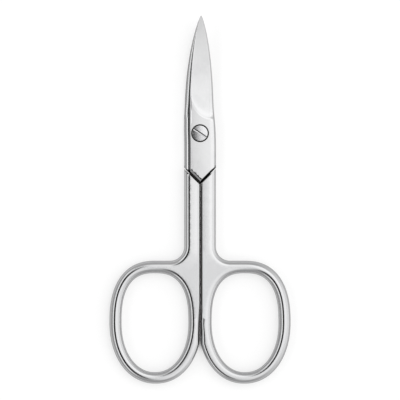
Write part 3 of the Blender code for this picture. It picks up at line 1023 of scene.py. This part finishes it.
# %% Cutters for the bores and the screw's seat
BORE_RADIUS = STEM_RADIUS + RUNNING_CLEARANCE
END_BREAK = 1.5 * FINE_BREAK


def round_cutter(name, floor, radius, edge):
    """A round cutter from a floor up to the face and past it, which breaks the edge at the face."""
    top = FACE_Z + PAST
    profile = [(0, floor), (radius, floor), (radius, FACE_Z - edge), (radius + edge, FACE_Z)]
    return turned_piece(name, profile + [(radius + edge + PAST, top), (0, top)])


def bore_cutter(name):
    """The front half's bore, which opens into the seat."""
    top = FACE_Z + PAST
    return turned_piece(name, [(0, -PAST), (BORE_RADIUS, -PAST), (BORE_RADIUS, top), (0, top)])


def end_bore_cutter(name):
    """The back half's bore, with its outer edge broken."""
    return round_cutter(name, -PAST, BORE_RADIUS, END_BREAK)


def seat_cutter(name):
    floor = FACE_Z - HEAD_HEIGHT - RUNNING_CLEARANCE
    return round_cutter(name, floor, HEAD_RADIUS + HEAD_CLEARANCE, FINE_BREAK)


# %% [markdown]
# ## Steel finishes
# All the steel here is bare stainless, and it differs only in how it was finished: the handles are
# polished bright, the blades are ground with fine lines along their length, and the screw's head is turned
# and then brushed across. Shade is painted into the colour in the V, the seat, the bore, the gap between
# the shanks, the blade's side wall and the screw's slot, and the colour of the halves is darker from the
# top of the rings downwards. A picture could be wrapped round each piece, but it would blur close up. Node
# groups read the place on the object instead, so their lines keep their real width at any distance, and
# each material sets its own spacing.


# %% Helpers for shader groups
STREAK_ROUGHNESS = 0.6


def shader_group(name, sizes, results):
    """An empty shader group with named inputs and outputs."""
    tree = bpy.data.node_groups.new(name, "ShaderNodeTree")
    add_inputs(tree, sizes)
    for result in results:
        tree.interface.new_socket(result, in_out="OUTPUT", socket_type="NodeSocketFloat")
    return tree, tree.nodes.new("NodeGroupInput").outputs, tree.nodes.new("NodeGroupOutput").inputs


def weighted(tree, *pairs):
    """The sum of values times their weights, held between 0 and 1."""
    found = None
    for value, weight in pairs:
        part = maths(tree, "MULTIPLY", value, weight)
        found = part if found is None else maths(tree, "ADD", found, part, clamp=True)
    return found


def streaks(tree, place, angle, spacing, length, detail=2.0):
    """Noise drawn out into streaks: spacing across them, length along them, turned by an angle."""
    about_z = {"rotation_type": "Z_AXIS"}
    turned = add_node(tree, "ShaderNodeVectorRotate", about_z, Vector=place, Angle=angle)
    size = add_node(tree, "ShaderNodeCombineXYZ", X=length, Y=spacing, Z=spacing)
    scaled = add_node(tree, "ShaderNodeVectorMath", {"operation": "DIVIDE"})
    tree.links.new(turned.outputs["Vector"], scaled.inputs[0])
    tree.links.new(size.outputs["Vector"], scaled.inputs[1])
    noise = add_node(tree, "ShaderNodeTexNoise", Scale=1.0, Detail=detail, Roughness=STREAK_ROUGHNESS)
    tree.links.new(scaled.outputs["Vector"], noise.inputs["Vector"])
    return noise.outputs["Fac"]


# %% Polishing lines: what the belt or the wheel leaves
BROAD_SPACING = 5.0
BROAD_LENGTH = 3.0
FINE_WEIGHT = 0.35
BROAD_WEIGHT = 0.65
LINE_LEVELS = (0.3, 0.7)


def polishing_lines_group():
    sizes = {
        "Place": ("Vector", (0, 0, 0)),
        "Angle": ("Float", 0.0),
        "Spacing": ("Float", 0.06 * MM),
        "Length": ("Float", 2.0 * MM),
    }
    tree, given, result = shader_group("polishing_lines", sizes, ["Height"])
    fine = streaks(tree, given["Place"], given["Angle"], given["Spacing"], given["Length"])
    wide = maths(tree, "MULTIPLY", given["Spacing"], BROAD_SPACING)
    long = maths(tree, "MULTIPLY", given["Length"], BROAD_LENGTH)
    broad = streaks(tree, given["Place"], given["Angle"], wide, long)
    both = weighted(tree, (fine, FINE_WEIGHT), (broad, BROAD_WEIGHT))
    tree.links.new(remap(tree, both, *LINE_LEVELS, soft=False), result["Height"])
    return tree


# %% Hair scratches: what a drawer full of tools leaves
SCRATCH_ANGLES = (0.4, 1.5, 2.3)
SCRATCH_EDGE = 0.06


def hair_scratches_group():
    sizes = {
        "Place": ("Vector", (0, 0, 0)),
        "Spacing": ("Float", 0.09 * MM),
        "Length": ("Float", 5.0 * MM),
        "Bareness": ("Float", 0.66),
    }
    tree, given, result = shader_group("hair_scratches", sizes, ["Mask"])
    masks = []
    for angle in SCRATCH_ANGLES:
        line = streaks(tree, given["Place"], angle, given["Spacing"], given["Length"], 1.0)
        deep = maths(tree, "ADD", given["Bareness"], SCRATCH_EDGE)
        masks.append(remap(tree, line, given["Bareness"], deep))
    tree.links.new(chain(tree, "MAXIMUM", *masks), result["Mask"])
    return tree


# %% Handling marks: where fingers have dulled the polish
MARK_LEVELS = (0.42, 0.68)
MARK_DETAIL = 5.0
MARK_ROUGHNESS = 0.65


def handling_marks_group():
    sizes = {"Place": ("Vector", (0, 0, 0)), "Patch": ("Float", 3.0 * MM)}
    tree, given, result = shader_group("handling_marks", sizes, ["Mask"])
    count = maths(tree, "DIVIDE", 1.0, given["Patch"])
    grain = {"Scale": count, "Detail": MARK_DETAIL, "Roughness": MARK_ROUGHNESS}
    noise = add_node(tree, "ShaderNodeTexNoise", **grain)
    tree.links.new(given["Place"], noise.inputs["Vector"])
    tree.links.new(remap(tree, noise.outputs["Fac"], *MARK_LEVELS), result["Mask"])
    return tree


POLISHING_LINES = polishing_lines_group()
HAIR_SCRATCHES = hair_scratches_group()
HANDLING_MARKS = handling_marks_group()
print("shader groups:", POLISHING_LINES.name, HAIR_SCRATCHES.name, HANDLING_MARKS.name)


# %% Helpers for a steel material
def placed_group(tree, group, place, sizes):
    """A group node with its sizes set, reading the place on the object."""
    node = tree.nodes.new("ShaderNodeGroup")
    node.node_tree = group
    tree.links.new(place, node.inputs["Place"])
    for name, value in sizes.items():
        node.inputs[name].default_value = value
    return node.outputs[0]


def stored(tree, name):
    """A value that the mesh itself holds."""
    return add_node(tree, "ShaderNodeAttribute", {"attribute_name": name}).outputs["Fac"]


def tinted(tree, share, first, second):
    """A colour between two colours."""
    node = add_node(tree, "ShaderNodeMix", {"data_type": "RGBA"}, Factor=share, A=first, B=second)
    return [socket for socket in node.outputs if socket.enabled][0]


def steel_base(name, edge_tint):
    """A metal with nothing on it yet: its tree, its shader and the place on the object."""
    material = bpy.data.materials.new(name)
    material.use_nodes = True
    tree = material.node_tree
    shader = tree.nodes["Principled BSDF"]
    shader.inputs["Metallic"].default_value = 1.0
    shader.inputs["Specular Tint"].default_value = (edge_tint, edge_tint, edge_tint, 1)
    place = tree.nodes.new("ShaderNodeTexCoord").outputs["Object"]
    return material, tree, shader, place


def dress(tree, shader, colour, roughness, height, depth):
    """Feeds the finished colour, roughness and relief to the shader."""
    tree.links.new(colour, shader.inputs["Base Color"])
    tree.links.new(roughness, shader.inputs["Roughness"])
    bump = add_node(tree, "ShaderNodeBump", Strength=1.0, Distance=depth)
    tree.links.new(height, bump.inputs["Height"])
    tree.links.new(bump.outputs["Normal"], shader.inputs["Normal"])


# %% The polished and ground steel of the halves
STEEL_LIGHT = (0.485, 0.485, 0.488, 1)
STEEL_DULL = (0.440, 0.441, 0.446, 1)
# The colour of the painted shade in the V, the seat, the bore, the gap between the shanks, the blade's side
# wall and the screw's slot
PAINTED_SHADE_DARK = (0.035, 0.034, 0.032, 1)
STEEL_EDGE_TINT = 0.6
HANDLE_LINES = {"Angle": math.radians(40), "Spacing": 0.05 * MM, "Length": 1.6 * MM}
BLADE_LINES = {"Angle": math.radians(90), "Spacing": 0.045 * MM, "Length": 5.0 * MM}
STEEL_SCRATCHES = {"Spacing": 0.06 * MM, "Length": 6.0 * MM, "Bareness": 0.7}
STEEL_MARKS = {"Patch": 5.0 * MM}
RING_DARKENING = 0.8
MARKS_DULL = 0.4
LINES_DULL = 0.25
SCRATCHES_DULL = 0.3
POLISHED_ROUGH = 0.08
GROUND_ROUGH = 0.18
DULLED_ROUGH = 0.06
PAINTED_SHADE_ROUGH = 0.45
STEEL_RELIEF = 0.0006 * MM


def polished_steel_material():
    """Bright on the handles, ground lengthwise on the blades. The mesh's own attribute, ground, says
    which is which."""
    material, tree, shader, place = steel_base("polished_steel", STEEL_EDGE_TINT)
    ground = stored(tree, "ground")
    painted_shade = stored(tree, "painted_shade")
    across = placed_group(tree, POLISHING_LINES, place, HANDLE_LINES)
    along = placed_group(tree, POLISHING_LINES, place, BLADE_LINES)
    lines = blend_numbers(tree, ground, across, along)
    scratches = placed_group(tree, HAIR_SCRATCHES, place, STEEL_SCRATCHES)
    marks = placed_group(tree, HANDLING_MARKS, place, STEEL_MARKS)

    # The colour is darker from the top of the rings downwards
    along_y = add_node(tree, "ShaderNodeSeparateXYZ", Vector=place).outputs["Y"]
    ring_top = PIVOT.y + RING_TOP
    darker_below_ring_top = remap(tree, along_y, ring_top - BAND_TOP, ring_top + BAND_TOP, RING_DARKENING, 0.0)
    dulled = weighted(
        tree,
        (marks, MARKS_DULL),
        (darker_below_ring_top, 1.0),
        (lines, LINES_DULL),
        (scratches, SCRATCHES_DULL),
    )
    colour = tinted(tree, dulled, STEEL_LIGHT, STEEL_DULL)
    # Painted shade: the colour turns dark on the faces marked for it, in the V, the seat, the bore, the gap
    # between the shanks and the blade's side wall
    colour = tinted(tree, painted_shade, colour, PAINTED_SHADE_DARK)
    rough = blend_numbers(tree, ground, POLISHED_ROUGH, GROUND_ROUGH)
    rough = maths(tree, "ADD", rough, maths(tree, "MULTIPLY", dulled, DULLED_ROUGH))
    rough = blend_numbers(tree, painted_shade, rough, PAINTED_SHADE_ROUGH)
    height = maths(tree, "SUBTRACT", lines, scratches)
    dress(tree, shader, colour, rough, height, STEEL_RELIEF)
    return material


# %% The screw's brushed steel
SCREW_LIGHT = (0.50, 0.50, 0.505, 1)
SCREW_DULL = (0.42, 0.42, 0.43, 1)
SCREW_EDGE_TINT = 0.7
SCREW_LINES = {"Angle": math.radians(30), "Spacing": 0.05 * MM, "Length": 2.4 * MM}
SCREW_SCRATCHES = {"Spacing": 0.05 * MM, "Length": 1.5 * MM, "Bareness": 0.66}
SCREW_MARKS = {"Patch": 1.0 * MM}
SCREW_LINES_DULL = 0.5
SCREW_SCRATCHES_DULL = 0.3
SCREW_MARKS_DULL = 0.3
SCREW_ROUGH = (0.22, 0.32)
SCREW_PAINTED_SHADE_ROUGH = 0.5
SCREW_RELIEF = 0.0012 * MM


def screw_steel_material():
    material, tree, shader, place = steel_base("screw_steel", SCREW_EDGE_TINT)
    painted_shade = stored(tree, "painted_shade")
    brushed = placed_group(tree, POLISHING_LINES, place, SCREW_LINES)
    scratches = placed_group(tree, HAIR_SCRATCHES, place, SCREW_SCRATCHES)
    marks = placed_group(tree, HANDLING_MARKS, place, SCREW_MARKS)
    dulled = weighted(
        tree,
        (brushed, SCREW_LINES_DULL),
        (scratches, SCREW_SCRATCHES_DULL),
        (marks, SCREW_MARKS_DULL),
    )
    colour = tinted(tree, dulled, SCREW_LIGHT, SCREW_DULL)
    # Painted shade: the colour turns dark in the slot and on the head's side and the stem
    colour = tinted(tree, painted_shade, colour, PAINTED_SHADE_DARK)
    rough = remap(tree, dulled, 0.0, 1.0, *SCREW_ROUGH)
    rough = blend_numbers(tree, painted_shade, rough, SCREW_PAINTED_SHADE_ROUGH)
    height = maths(tree, "SUBTRACT", brushed, scratches)
    dress(tree, shader, colour, rough, height, SCREW_RELIEF)
    return material


POLISHED_STEEL = polished_steel_material()
SCREW_STEEL = screw_steel_material()
print("materials:", POLISHED_STEEL.name, SCREW_STEEL.name)

# %% [markdown]
# ## Putting a half together
# On the real scissors nothing is put together here: a half is one forging. In the model it is simplest to
# make the blade and the handle on their own and join them with a Boolean, after the cutters have made the
# groove, the free side of the plate, the bore and the seat. Both halves are the same design. The back one
# is turned half a turn about its length, and only the blades' curve and the polish of the spine differ.


# %% Joining and cutting
SHARP_ANGLE = math.radians(14)


def combine(obj, tool, operation):
    """Cuts an object by a tool, or joins the tool to it. The tool is used up."""
    modifier = obj.modifiers.new(tool.name, "BOOLEAN")
    modifier.operation = operation
    modifier.solver = "EXACT"
    modifier.object = tool
    settle(obj)
    bpy.data.objects.remove(tool, do_unlink=True)


def finish_surface(obj, material):
    """Smooth shading with crisp edges, and one material."""
    bm = bmesh.new()
    bm.from_mesh(obj.data)
    bmesh.ops.remove_doubles(bm, verts=bm.verts, dist=MERGE)
    bmesh.ops.dissolve_degenerate(bm, edges=bm.edges, dist=MERGE)
    open_edges = sum(1 for edge in bm.edges if len(edge.link_faces) != 2)
    for face in bm.faces:
        face.material_index = 0
    bm.to_mesh(obj.data)
    bm.free()
    obj.data.materials.clear()
    obj.data.materials.append(material)
    obj.data.shade_smooth()
    obj.data.set_sharp_from_angle(angle=SHARP_ANGLE)
    triangles = sum(len(polygon.vertices) - 2 for polygon in obj.data.polygons)
    print(f"{obj.name}: {triangles} triangles, {open_edges} open edges")


# %% The attribute that tells the ground blade from the polished plate
GROUND_RUN = 0.4 * MM
LEAST_WIDTH = 0.3 * MM


def mark_ground(obj, side):
    """Sets ground to 1 past the ricasso's line, and 0 on the rest."""
    attribute = obj.data.attributes.new("ground", "FLOAT", "POINT")
    values = []
    for vertex in obj.data.vertices:
        x, v, z = vertex.co
        q = (side * lean(v) + half_width(v) - x) / max(full_width(v), LEAST_WIDTH)
        values.append(smooth((v - ricasso(clamp(q))) / GROUND_RUN))
    attribute.data.foreach_set("value", values)
    print(f"{obj.name}: {sum(value > 0 for value in values)} of {len(values)} points are ground")


# %% The attribute that tells where shade is painted into the steel's colour
def mark_painted_shade(obj, is_recess):
    """Sets the painted shade on the corners of the faces that a rule picks by their middle and normal."""
    attribute = obj.data.attributes.new("painted_shade", "FLOAT", "CORNER")
    values = [0.0] * len(obj.data.loops)
    count = 0
    for polygon in obj.data.polygons:
        share = is_recess(polygon.center, polygon.normal)
        if share > 0:
            count += 1
            for loop in polygon.loop_indices:
                values[loop] = share
    attribute.data.foreach_set("value", values)
    print(f"{obj.name}: {count} faces in recesses")


# %% The painted shade along the V
STEEP = 0.7
TOUCH = 0.02 * MM
SLOPE_SHADE = 0.12
FREE_SIDE_SHADE = 0.85
FREE_SIDE_TOP = FACE_Z - 0.9 * SHOULDER_BREAK


def v_painted_shade(x, v, z, steep):
    """Painted shade in the groove with its slope, on the shoulder's broken edge and on the wall under the
    plate's free side.
    """
    if not -SHOULDER_DROP - MM < v < -SHOULDER_DROP + JOINT_HALF_WIDTH + MM:
        return 0.0
    into_groove = (PLATE_POINT_X - x - PLATE_POINT_DROP - v) * DIAGONAL
    if 0 < into_groove < GROOVE_WIDTH + TOUCH and x < PLATE_POINT_X:
        return 1.0 if z < FACE_Z - GROOVE_SLOPE_FALL or steep else SLOPE_SHADE
    past_shoulder = (-x - v - SHOULDER_DROP) * DIAGONAL
    if x < PLATE_STEP - JOINT_HALF_WIDTH and 0 < past_shoulder < SHOULDER_BREAK:
        return 1.0 if z > 0 else 0.0
    past_plate = (x - PLATE_POINT_X - PLATE_POINT_DROP - v) * DIAGONAL
    on_free_side = -HIDDEN_SLOPE < past_plate < SLOPE_GAP and 0 < z < FREE_SIDE_TOP
    return FREE_SIDE_SHADE if steep and on_free_side else 0.0


# %% The painted shade of a half
SEAT_REACH = HEAD_RADIUS + HEAD_CLEARANCE + 0.5 * FINE_BREAK
SEAT_FOOT = JOINT_GAP / 2 + MARGIN
SEAT_TOP = FACE_Z - END_BREAK
GAP_MOUTH = 0.04 * MM
GAP_MOUTH_BEHIND = 0.3 * MM
GAP_SHADE = 0.95
GAP_END = 5.0 * MM
WALL_FACING = -0.6
WALL_TURN = -0.3
WALL_SHADE = 0.55
WALL_SHADE_FADES_AT = 13.0 * MM
WALL_FADE = 6.0 * MM
SHANK_SIDE = PLATE_STEP - JOINT_HALF_WIDTH - 0.1 * MM


def half_painted_shade(middle, normal, gap_mouth):
    """Painted shade on the bore and the seat, the gap between the shanks, the side wall of the plate and
    the blade, where the shade fades out towards the tip, and the V."""
    x, v, z = middle
    if math.hypot(x, v) < SEAT_REACH:
        return 1.0 if SEAT_FOOT < z < SEAT_TOP else 0.0
    if abs(x - INNER_X) < gap_mouth and v < -SHOULDER_DROP:
        shade = between(GAP_SHADE, 1.0, smooth((abs(z) - FACE_Z) / INNER_RADIUS + 1))
        return shade * (1 - smooth((-RING_DROP - GAP_END - v) / MM))
    on_shank = x < SHANK_SIDE and v < JOINT_HALF_WIDTH - SHOULDER_DROP
    on_wall = normal.x < WALL_FACING and normal.y > WALL_TURN and v > -SHOULDER_DROP
    if on_wall and not on_shank:
        return WALL_SHADE * (1 - smooth((v - WALL_SHADE_FADES_AT) / WALL_FADE))
    return v_painted_shade(x, v, z, abs(normal.z) < STEEP)


# %% One half
ROUNDED_PLATE = rounded_plate_tree()


def scissor_half(name, side, material):
    half = lofted_blade(name, side)
    combine(half, groove_cutter(name + "_groove"), "DIFFERENCE")
    combine(half, slope_cutter(name + "_slope"), "DIFFERENCE")
    if side > 0:
        combine(half, bore_cutter(name + "_bore"), "DIFFERENCE")
        combine(half, seat_cutter(name + "_seat"), "DIFFERENCE")
    else:
        combine(half, end_bore_cutter(name + "_bore"), "DIFFERENCE")

    grip = handle_sheet(name + "_handle")
    middle = (INNER_X - JOINT_HALF_WIDTH) / 2
    run_tree(grip, ROUNDED_PLATE, Crown_Middle=middle, Material=material)
    combine(grip, shoulder_cutter(name + "_shoulder"), "DIFFERENCE")
    combine(half, grip, "UNION")
    finish_surface(half, material)
    mark_ground(half, side)
    gap_mouth = GAP_MOUTH if side > 0 else GAP_MOUTH_BEHIND
    mark_painted_shade(half, lambda *face: half_painted_shade(*face, gap_mouth))

    turn = Matrix.Identity(4) if side > 0 else Matrix.Rotation(math.pi, 4, "Y")
    half.data.transform(Matrix.Translation(PIVOT) @ turn)
    return half


FRONT = scissor_half("front_half_finished", 1, POLISHED_STEEL)
BACK = scissor_half("back_half_finished", -1, POLISHED_STEEL)

# %% [markdown]
# ## The screw
# Its head is turned with a slight crown, the slot is milled across it, and the slot's edges are dubbed by
# the same brushing that finishes the head. The turned tree makes the body, and a cutter with flared lips
# takes out the slot, so that those edges catch the light.

# %% The slot
SLOT_LIP = 0.03 * MM
SLOT_LEAN = 0.22 * MM


def slot_cutter(name):
    """A long bar with flared lips at the height of the crown's top. One side of it leans in."""
    top = FACE_Z + HEAD_CROWN
    half_slot = SLOT_WIDTH / 2
    profile = [
        (-half_slot + SLOT_LIP, FACE_Z - SLOT_DEPTH),
        (half_slot - SLOT_LEAN, FACE_Z - SLOT_DEPTH),
        (half_slot, top - SLOT_LIP),
        (half_slot + SLOT_LIP, top),
        (half_slot + SLOT_LIP, top + PAST),
        (-half_slot - SLOT_LIP, top + PAST),
        (-half_slot - SLOT_LIP, top),
        (-half_slot, top - SLOT_LIP),
    ]
    across = (math.sin(-SLOT_ANGLE), math.cos(SLOT_ANGLE))
    return straight_cutter(name, profile, across, (0, 0))


# %% Where shade is painted on the screw
HEAD_SIDE = HEAD_RADIUS - 0.5 * HEAD_BREAK
HEAD_SIDE_TOP = FACE_Z - 0.7 * HEAD_BREAK
SLOT_FLOOR = FACE_Z - SLOT_DEPTH - MARGIN
SLOT_WALL_TOP = FACE_Z - 0.01 * MM
SLOT_STEEP = 0.95
SCREW_SHADE_BOTTOM = -FACE_Z + 0.3 * MM


def screw_painted_shade(middle, normal):
    """Painted shade on the slot's walls, and on the head's side and the stem, which sit in the seat and the
    bore.
    """
    if math.hypot(middle.x, middle.y) > HEAD_SIDE or middle.z < SLOT_FLOOR:
        return 1.0 if SCREW_SHADE_BOTTOM < middle.z < HEAD_SIDE_TOP else 0.0
    in_slot = middle.z < SLOT_WALL_TOP and abs(normal.z) < SLOT_STEEP
    return 1.0 if in_slot else 0.0


# %% The screw
HEAD_STEPS = 14
HEAD_BREAK_TURNS = (30, 60, 90)
END_SHARES = ((0.0, 1.0), (0.7, 0.3), (1.0, 0.1), (1.6, 0.0))


def pivot_screw(name, material):
    """The crowned head, its broken edge, and the stem, whose end is rounded by shares of its chamfer."""
    underside = FACE_Z - HEAD_HEIGHT
    end = -FACE_Z + SCREW_END_INSET
    rim = HEAD_RADIUS - HEAD_BREAK
    profile = []
    for i in range(HEAD_STEPS + 1):
        share = i / HEAD_STEPS
        profile.append((rim * share, FACE_Z + HEAD_CROWN * (1 - share**2)))
    for turn in HEAD_BREAK_TURNS:
        angle = math.radians(turn)
        drop = HEAD_BREAK * (1 - math.cos(angle))
        profile.append((rim + HEAD_BREAK * math.sin(angle), FACE_Z - drop))
    profile += [(HEAD_RADIUS, underside), (STEM_RADIUS, underside)]
    for inward, upward in END_SHARES:
        profile.append((STEM_RADIUS - STEM_CHAMFER * inward, end + STEM_CHAMFER * upward))
    profile.append((0.0, end))
    screw = turned_piece(name, profile, material)
    combine(screw, slot_cutter(name + "_slot"), "DIFFERENCE")
    finish_surface(screw, material)
    mark_painted_shade(screw, screw_painted_shade)
    screw.data.transform(Matrix.Translation(PIVOT))
    return screw


SCREW = pivot_screw("pivot_screw_finished", SCREW_STEEL)

# %% [markdown]
# ## Handing the pieces to the frame
# Each finished piece replaces its CAD node and rides on the body that the node rides on.

# %% Riding and replacing
for piece, node, body, slot in (
    (FRONT, "front_half", "front_half", "polished_steel"),
    (BACK, "back_half", "back_half", "polished_steel"),
    (SCREW, "pivot_screw", "back_half", "screw_steel"),
):
    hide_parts(node)
    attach(piece, body)

# %% [markdown]
# ## The floor
# The floor is matt and nearly white. A camera still sees such a floor as light grey. More light would
# burn out the steel, so a share of plain white is mixed into what is seen of the floor, straight or
# mirrored in the steel, and the scissors keep their shadow. Under the narrow gap between the shanks
# nothing is mixed in, so that the line between them stays dark.

# %% The floor
FLOOR_HALF = 2.0
FLOOR_DROP = 0.02 * MM
FLOOR_COLOUR = (0.97, 0.97, 0.97, 1)
FLOOR_ROUGH = 0.9
FLOOR_SHINE = 0.1
FLOOR_LIFT = 0.6
CROTCH_Y = PIVOT.y - RING_DROP
SHADED_HALF = (0.25 * MM, 1.2 * MM)
SHADED_FOOT = (CROTCH_Y - 8 * MM, CROTCH_Y - 4 * MM)
SHADED_TOP = (0.0, PIVOT.y)


def gap_shade(tree):
    """1 on the floor under the gap between the shanks, fading to 0 round it."""
    place = add_node(tree, "ShaderNodeTexCoord").outputs["Object"]
    place = add_node(tree, "ShaderNodeSeparateXYZ", Vector=place).outputs
    aside = maths(tree, "ABSOLUTE", place["X"])
    beside = remap(tree, aside, *SHADED_HALF, 1.0, 0.0)
    above_foot = remap(tree, place["Y"], *SHADED_FOOT)
    under_plates = remap(tree, place["Y"], *SHADED_TOP, 1.0, 0.0)
    return chain(tree, "MULTIPLY", above_foot, under_plates, beside)


def lift_to_white(tree, shader):
    """Mixes plain white into what is seen of a surface, straight or in the steel, so that it keeps a
    faint shadow."""
    path = add_node(tree, "ShaderNodeLightPath").outputs
    rays = [path[name] for name in ("Is Camera Ray", "Is Glossy Ray", "Is Transmission Ray")]
    lit = maths(tree, "SUBTRACT", 1.0, gap_shade(tree))
    share = chain(tree, "MULTIPLY", chain(tree, "MAXIMUM", *rays), lit, FLOOR_LIFT)
    white = add_node(tree, "ShaderNodeEmission").outputs["Emission"]
    mixed = tree.nodes.new("ShaderNodeMixShader")
    tree.links.new(share, mixed.inputs[0])
    tree.links.new(shader.outputs["BSDF"], mixed.inputs[1])
    tree.links.new(white, mixed.inputs[2])
    tree.links.new(mixed.outputs["Shader"], tree.nodes["Material Output"].inputs["Surface"])


def pale_floor():
    mesh = bpy.data.meshes.new("floor")
    corners = [(-FLOOR_HALF, -FLOOR_HALF), (FLOOR_HALF, -FLOOR_HALF), (FLOOR_HALF, FLOOR_HALF)]
    corners.append((-FLOOR_HALF, FLOOR_HALF))
    mesh.from_pydata([(*corner, -FLOOR_DROP) for corner in corners], [], [(0, 1, 2, 3)])
    material = bpy.data.materials.new("pale_floor")
    material.use_nodes = True
    shader = material.node_tree.nodes["Principled BSDF"]
    shader.inputs["Base Color"].default_value = FLOOR_COLOUR
    shader.inputs["Roughness"].default_value = FLOOR_ROUGH
    shader.inputs["Specular IOR Level"].default_value = FLOOR_SHINE
    lift_to_white(material.node_tree, shader)
    mesh.materials.append(material)
    floor = linked("floor", mesh)


pale_floor()

# %% [markdown]
# ## Light and camera
# Polished steel has hardly any colour of its own: it shows the room. So the light is a small studio, drawn
# in the world by direction: a bright ceiling, a long dark flag above and to the left, a white strip beyond
# it, and low walls, bright on the right and greyer on the other sides. Lamps could do the same, but a world
# gives the steel edges a soft, even room to mirror and keeps the floor evenly lit.

# %% Brightness of the studio's parts
CEILING = 1.64
CEILING_FALL_LEFT = 0.27
CEILING_RISE_RIGHT = 0.22
FAR_RISE = 0.16
NEAR_FALL = -0.55
FLAG = 0.03
STRIP = 1.85
RIGHT_WALL = 1.6
LEFT_WALL = 0.65
TOP_WALL = 0.78
NEAR_WALL = 0.64

# %% Where the ceiling rises, falls and ends, in parts of the direction itself
FAR_REACH = (0.0, 0.26)
NEAR_REACH = (-0.65, -0.03)
WALL_TOP = (0.70, 0.81)
HORIZON = 0.02
LEAST_FLAT = 1e-6

# %% Where the rest lies on a ceiling 1 above: U runs to the right, W towards the tips
CEILING_MIDDLE = (-0.09, 0.09)
STRIP_U = (-1.25, -1.1, -0.66, -0.59)
STRIP_W = (-1.5, -1.1, 1.1, 1.35)
FLAG_U = (-0.66, -0.59, -0.12, -0.055)
FLAG_W = (-0.9, -0.35, 0.35, 0.6)


# %% The studio as a function of direction
def soft_patch(tree, u, u_edges, w, w_edges):
    """1 inside a patch of the ceiling and 0 outside. Two edges on each side give its soft border."""
    sides = []
    for place, (start, full, fading, end) in ((u, u_edges), (w, w_edges)):
        sides += [remap(tree, place, start, full), remap(tree, place, fading, end, 1.0, 0.0)]
    return chain(tree, "MULTIPLY", *sides)


def low_walls(tree, x, y):
    """The brightness of the walls, each of which fades into the next as the direction turns."""
    flat = maths(tree, "ADD", maths(tree, "MULTIPLY", x, x), maths(tree, "MULTIPLY", y, y))
    flat = maths(tree, "MAXIMUM", flat, LEAST_FLAT)
    parts = []
    for axis, sign, brightness in (
        (x, 1.0, RIGHT_WALL),
        (x, -1.0, LEFT_WALL),
        (y, 1.0, TOP_WALL),
        (y, -1.0, NEAR_WALL),
    ):
        way = maths(tree, "MAXIMUM", maths(tree, "MULTIPLY", axis, sign), 0.0)
        facing = maths(tree, "DIVIDE", maths(tree, "MULTIPLY", way, way), flat)
        parts.append(maths(tree, "MULTIPLY", facing, brightness))
    return chain(tree, "ADD", *parts)


def studio_world():
    world = bpy.data.worlds.new("studio")
    world.use_nodes = True
    bpy.context.scene.world = world
    tree = world.node_tree
    direction = tree.nodes.new("ShaderNodeTexCoord").outputs["Generated"]
    x, y, z = add_node(tree, "ShaderNodeSeparateXYZ", Vector=direction).outputs
    up = maths(tree, "MAXIMUM", z, HORIZON)
    u = maths(tree, "DIVIDE", x, up)
    w = maths(tree, "DIVIDE", y, up)

    left, right = CEILING - CEILING_FALL_LEFT, CEILING + CEILING_RISE_RIGHT
    ceiling = remap(tree, u, *CEILING_MIDDLE, left, right, soft=False)
    ceiling = maths(tree, "ADD", remap(tree, y, *FAR_REACH, 0.0, FAR_RISE), ceiling)
    near = remap(tree, y, *NEAR_REACH, NEAR_FALL, 0.0, soft=False)
    ceiling = maths(tree, "ADD", ceiling, near)
    light = blend_numbers(tree, remap(tree, z, *WALL_TOP), low_walls(tree, x, y), ceiling)
    light = blend_numbers(tree, soft_patch(tree, u, STRIP_U, w, STRIP_W), light, STRIP)
    light = blend_numbers(tree, soft_patch(tree, u, FLAG_U, w, FLAG_W), light, FLAG)

    background = tree.nodes["Background"]
    tree.links.new(light, background.inputs["Strength"])
    background.inputs["Color"].default_value = (1, 1, 1, 1)
    print(f"{world.name}: {len(tree.nodes)} nodes")


studio_world()

# %% The camera, straight above
VIEW_WIDTH = 97.88 * MM
VIEW_MIDDLE = Vector((0.0, -0.05)) * MM
LENS = 500.0
SENSOR = 36.0


def studio_camera():
    data = bpy.data.cameras.new("camera")
    data.lens = LENS
    data.sensor_width = SENSOR
    data.clip_start = 0.01
    data.clip_end = 20.0
    camera = linked("camera", data)
    distance = VIEW_WIDTH * LENS / SENSOR
    camera.location = (*VIEW_MIDDLE, PIVOT.z + distance)
    bpy.context.scene.camera = camera
    print(f"camera {distance * 1000:.0f} mm above the joint plane")


studio_camera()
bpy.context.scene.view_settings.view_transform = "Standard"
